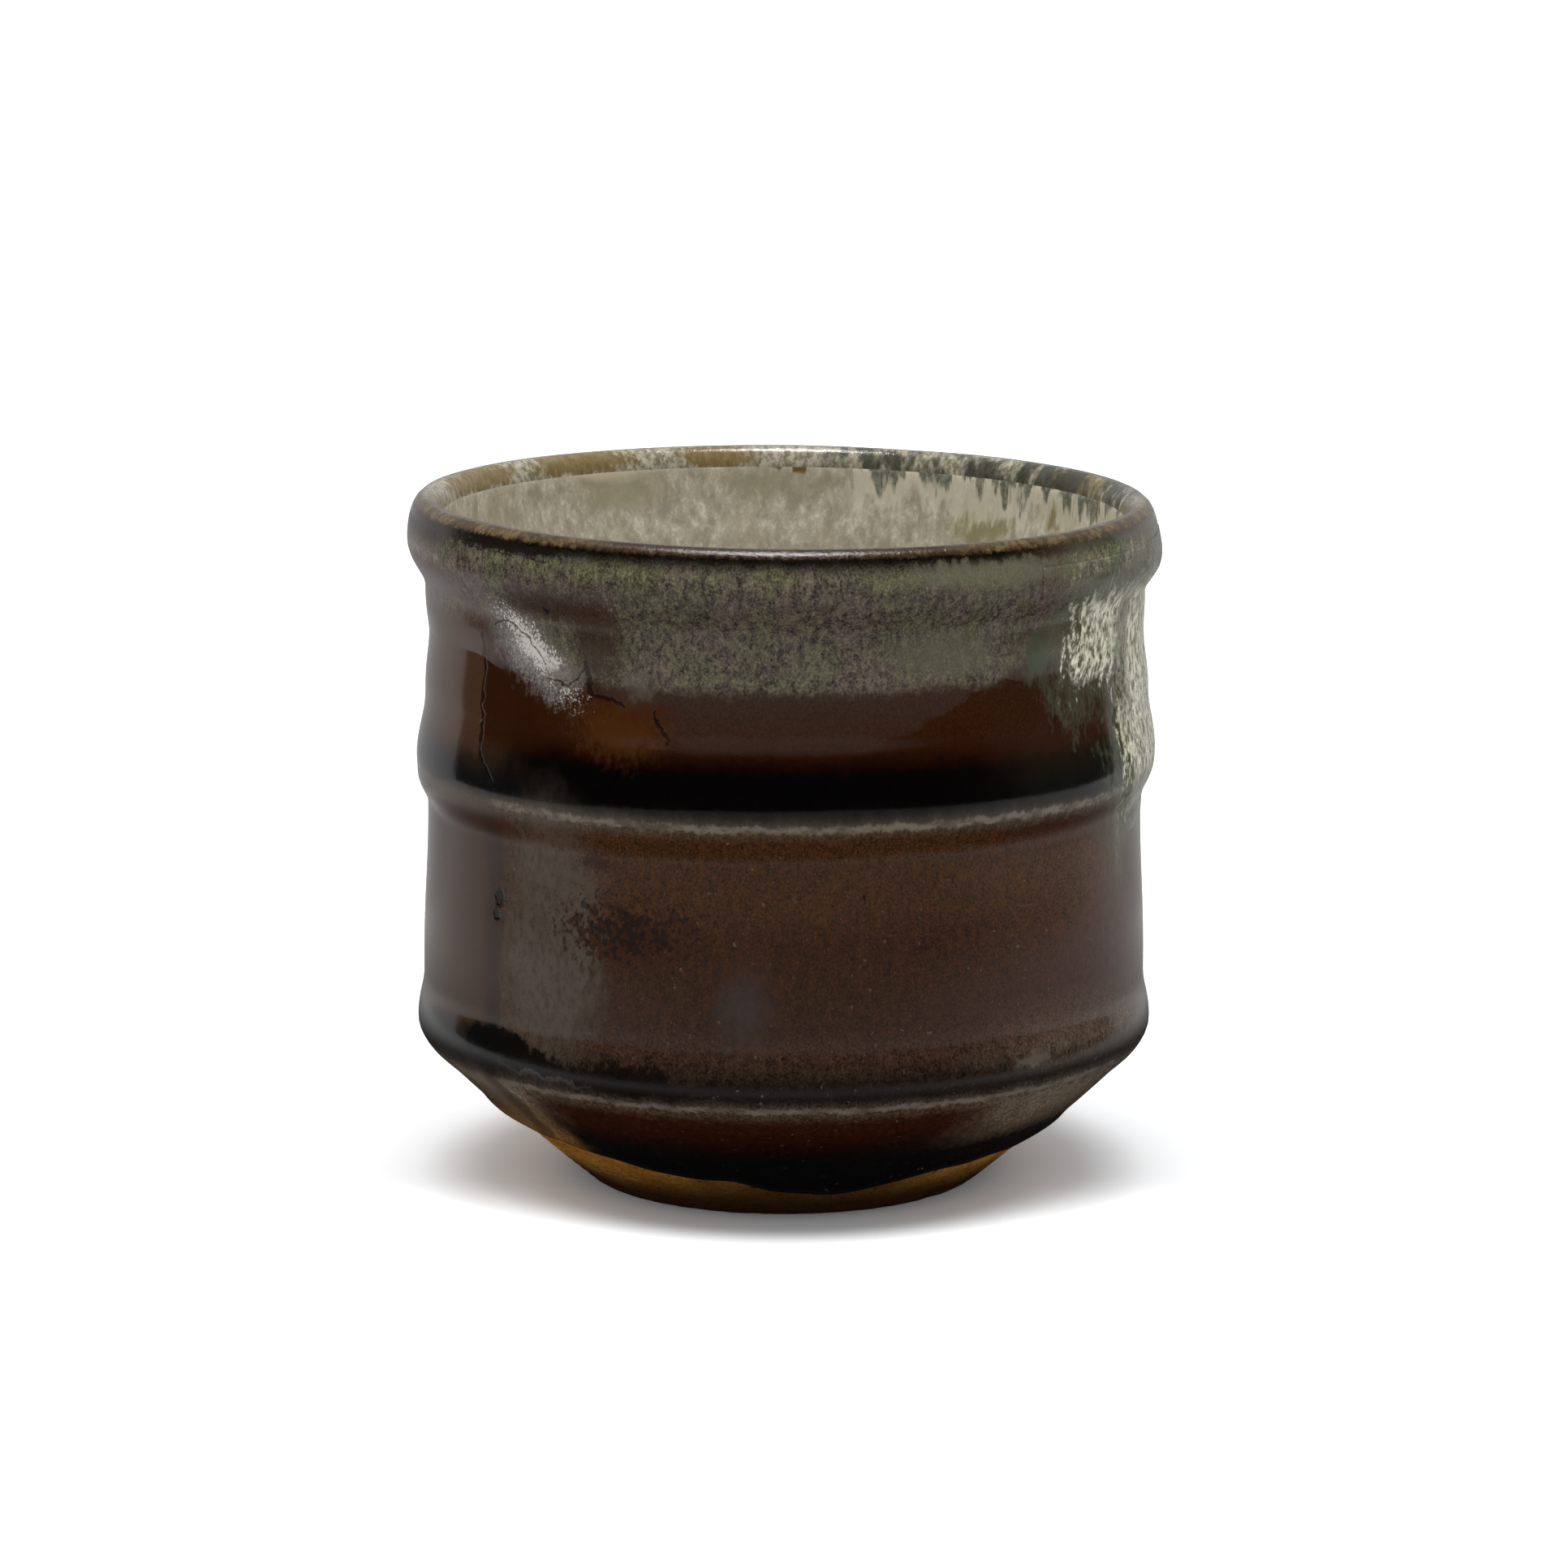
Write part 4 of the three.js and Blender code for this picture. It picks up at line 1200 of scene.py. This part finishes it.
near_lip = paint.times(paint.level(run_height, 53.3, 54.6), on_right)
surface = paint.mix(paint.times(near_lip, 0.85), surface, green)
purple = paint.times(paint.level(paint.height, 54.9, 55.5), paint.level(from_back, 20, 32))
surface = paint.mix(paint.times(purple, 0.6), surface, (0.10, 0.090, 0.082))
pool = paint.level(paint.height, 13, 8)
surface = paint.mix(paint.times(pool, 0.5), surface, (0.30, 0.29, 0.19))
gloss = paint.level(fine_cells, 0.3, 0.7, 0.14, 0.28)
curd_relief = paint.math("ADD", paint.times(cells, 1.2), paint.times(fine_cells, 0.5))
paint.node("NodeGroupOutput", {"Color": surface, "Roughness": gloss, "Relief": curd_relief})
cup_lining.data.materials.append(fired("ash_glaze", lining, GLAZE_RELIEF))
print("the inside uses", len(lining.nodes), "nodes")

# %% [markdown]
# ## The bare clay
#
# Unglazed stoneware is matt and gritty. It is ochre, darker and redder close to the glaze where iron
# salts crept into it, with small dark iron specks, and dark brown towards the base of the foot, which
# is painted shade where the foot meets the floor.

# %% Build the clay
clay = glaze_group("bare_stoneware_clay")
paint = Brushes(clay)
grit = paint.noise(3.5, 3.5, 4, seed=91, roughness=0.7)
blush = paint.noise(0.35, 0.35, 3, seed=95)
specks = paint.noise(2.2, 2.2, 1, seed=99)
ochre = paint.mix(paint.level(blush, 0.35, 0.65), (0.34, 0.135, 0.010), (0.46, 0.230, 0.040))
ochre = paint.mix(paint.level(grit, 0.35, 0.65, 0, 0.65), ochre, (0.16, 0.060, 0.004))
# Painted shade: darker towards the base of the foot, where it meets the floor.
ochre = paint.mix(paint.level(paint.height, 4.2, 0.8, 0, 0.92), ochre, (0.030, 0.010, 0.001))
to_front = paint.level(paint.math("ABSOLUTE", paint.math("SUBTRACT", paint.angle, 4)), 46, 14, 0, 0.62)
ochre = paint.mix(to_front, ochre, (0.045, 0.015, 0.001))
ochre = paint.mix(paint.level(specks, 0.66, 0.72, 0, 0.9), ochre, (0.02, 0.01, 0.004))
dry = paint.level(grit, 0, 1, 0.7, 0.95)
paint.node("NodeGroupOutput", {"Color": ochre, "Roughness": dry, "Relief": grit})
clay_material = fired("bare_stoneware", clay, 0.09 * MM)
clay_material.node_tree.nodes["Principled BSDF"].inputs["Specular IOR Level"].default_value = 0.12
cup_clay.data.materials.append(clay_material)
print("the clay uses", len(clay.nodes), "nodes")

# %% [markdown]
# ## Light and floor
#
# The cup stands on plain white, under one soft light straight above. Glossy glaze is dark, so half of
# its look is what it mirrors: two glowing cards stand in for the lit white sheet it stands on and a
# white backdrop, and give the lower walls a soft haze; the sheet's glow is painted light, dimmer
# towards the front and with a painted shadow round the cup. The rest of the room is dim. The floor that
# the camera sees is wide and a little overexposed, and its front glows, a painted light that keeps the
# shadow short. The bounce under it, the smaller sheet and the backdrop are there only for the cup.

# %% Floor, mirrored sheet and backdrop
def plain_surface(name, colour, glow):
    """A matt surface for the stage, with a little light of its own."""
    material = bpy.data.materials.new(name)
    material.use_nodes = True
    shader = material.node_tree.nodes["Principled BSDF"]
    shader.inputs["Base Color"].default_value = (*colour, 1)
    shader.inputs["Roughness"].default_value = 0.9
    shader.inputs["Specular IOR Level"].default_value = 0
    shader.inputs["Emission Color"].default_value = (1, 1, 1, 1)
    shader.inputs["Emission Strength"].default_value = glow
    return material


def stage_card(name, size, location, turn_x, colour, glow, mirrored):
    """A flat card that is either seen by the camera or only mirrored in the glaze."""
    bpy.ops.object.select_all(action="DESELECT")
    bpy.ops.mesh.primitive_plane_add(size=1, location=location, rotation=(turn_x, 0, 0))
    card = bpy.context.object
    card.name = name
    card.scale = (*size, 1)
    bpy.ops.object.transform_apply(location=True, rotation=True, scale=True)
    card.data.materials.append(plain_surface(name, colour, glow))
    card.visible_glossy = mirrored
    card.visible_camera = not mirrored
    card.visible_diffuse = not mirrored
    card.visible_shadow = not mirrored
    return card


FLOOR_WHITE = (1.17, 1.185, 1.205)
PAPER_GLOW = 0.42
SHEET = (0.4, 0.565)
floor = stage_card("floor", (12, 12), (0, 0, 0), 0, (1, 1, 1), 0, False)
floor.visible_diffuse = False
floor.visible_shadow = False
bounce = stage_card("bounce", (12, 12), (0, 0, -0.1 * MM), 0, (0.88, 0.88, 0.87), 0, False)
bounce.visible_camera = False
floor_tree = floor.data.materials[0].node_tree
paint = Brushes(floor_tree)
# Painted light: the front of the floor glows, which lightens the cup's shadow in front of the foot.
painted_front_light = paint.level(paint.y, -26, -4, 0.75, 0)
off_foot = paint.level(paint.vector("LENGTH", paint.place), 20.5, 26.5)
matt_floor = paint.node("ShaderNodeBsdfDiffuse", {"Color": (*FLOOR_WHITE, 1)})
painted_floor_glow = paint.node("ShaderNodeEmission", {"Strength": paint.times(painted_front_light, off_foot)})
both = paint.node("ShaderNodeAddShader", {0: matt_floor.outputs[0], 1: painted_floor_glow.outputs[0]})
floor_tree.links.new(both.outputs[0], floor_tree.nodes["Material Output"].inputs["Surface"])

sheet = stage_card("mirrored_sheet", SHEET, (0, 0.1 - SHEET[1] / 2, 0.1 * MM), 0, (0, 0, 0), 1, True)
sheet_tree = sheet.data.materials[0].node_tree
paint = Brushes(sheet_tree)
# The sheet's glow is painted light for the lit paper: dimmer towards the front, and with a painted
# shadow round the cup.
painted_front_shade = paint.level(paint.y, -165, -15, 0.22, 0.5)
cup_shadow = paint.level(paint.vector("LENGTH", paint.place), 42, 125, 0.02, 1)
sheet_glow = paint.times(painted_front_shade, cup_shadow)
sheet_tree.links.new(sheet_glow, sheet_tree.nodes["Principled BSDF"].inputs["Emission Strength"])
stage_card("mirrored_backdrop", (0.4, 0.5), (0, 0.1, 0.25), math.pi / 2, (0, 0, 0), PAPER_GLOW, True)

# %% The lamp above and the room
def overhead(name, power, width):
    """A round soft light straight above, as wide as seen from the cup in degrees."""
    bpy.ops.object.light_add(type="SUN", location=(0, 0, 0.9))
    lamp = bpy.context.object
    lamp.name = name
    lamp.data.energy = power
    lamp.data.angle = math.radians(width)
    return lamp


overhead("soft_lamp", 1.55, 50).visible_glossy = False
overhead("mirrored_lamp", 3.0, 19).visible_diffuse = False

ROOM_FILL = 0.75
ROOM_MIRRORED = 0.004
room = bpy.data.worlds.new("room")
bpy.context.scene.world = room
room.use_nodes = True
room.node_tree.nodes["Background"].inputs["Color"].default_value = (1, 1, 1, 1)
room_nodes = room.node_tree.nodes
room_links = room.node_tree.links
ray = room_nodes.new("ShaderNodeLightPath")
seen = room_nodes.new("ShaderNodeMix")
seen.data_type = "FLOAT"
seen.inputs["A"].default_value = ROOM_FILL
seen.inputs["B"].default_value = 1.0
room_links.new(ray.outputs["Is Camera Ray"], seen.inputs["Factor"])
dimmed = room_nodes.new("ShaderNodeMix")
dimmed.data_type = "FLOAT"
dimmed.inputs["B"].default_value = ROOM_MIRRORED
room_links.new(ray.outputs["Is Glossy Ray"], dimmed.inputs["Factor"])
room_links.new(seen.outputs["Result"], dimmed.inputs["A"])
room_links.new(dimmed.outputs["Result"], room_nodes["Background"].inputs["Strength"])
bpy.context.scene.view_settings.view_transform = "Standard"
print("room fill", ROOM_FILL)

# %% [markdown]
# ## Joining the cup to its CAD parts
#
# Every piece rides on the one body of the part and stands for its own CAD node, which is hidden.

# %% Ride and replace
for piece, node, finish in (
    (cup_clay, "clay_body", "bare_stoneware"),
    (cup_iron_glaze, "iron_glaze_coat", "iron_glaze"),
    (cup_lining, "ash_glaze_lining", "ash_glaze"),
    (cup_rim_dip, "ash_glaze_rim_dip", "thin_ash_over_iron_glaze"),
    (cup_pour, "ash_glaze_pour", "cream_ash_glaze"),
):
    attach(piece, "root")
    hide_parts(node)
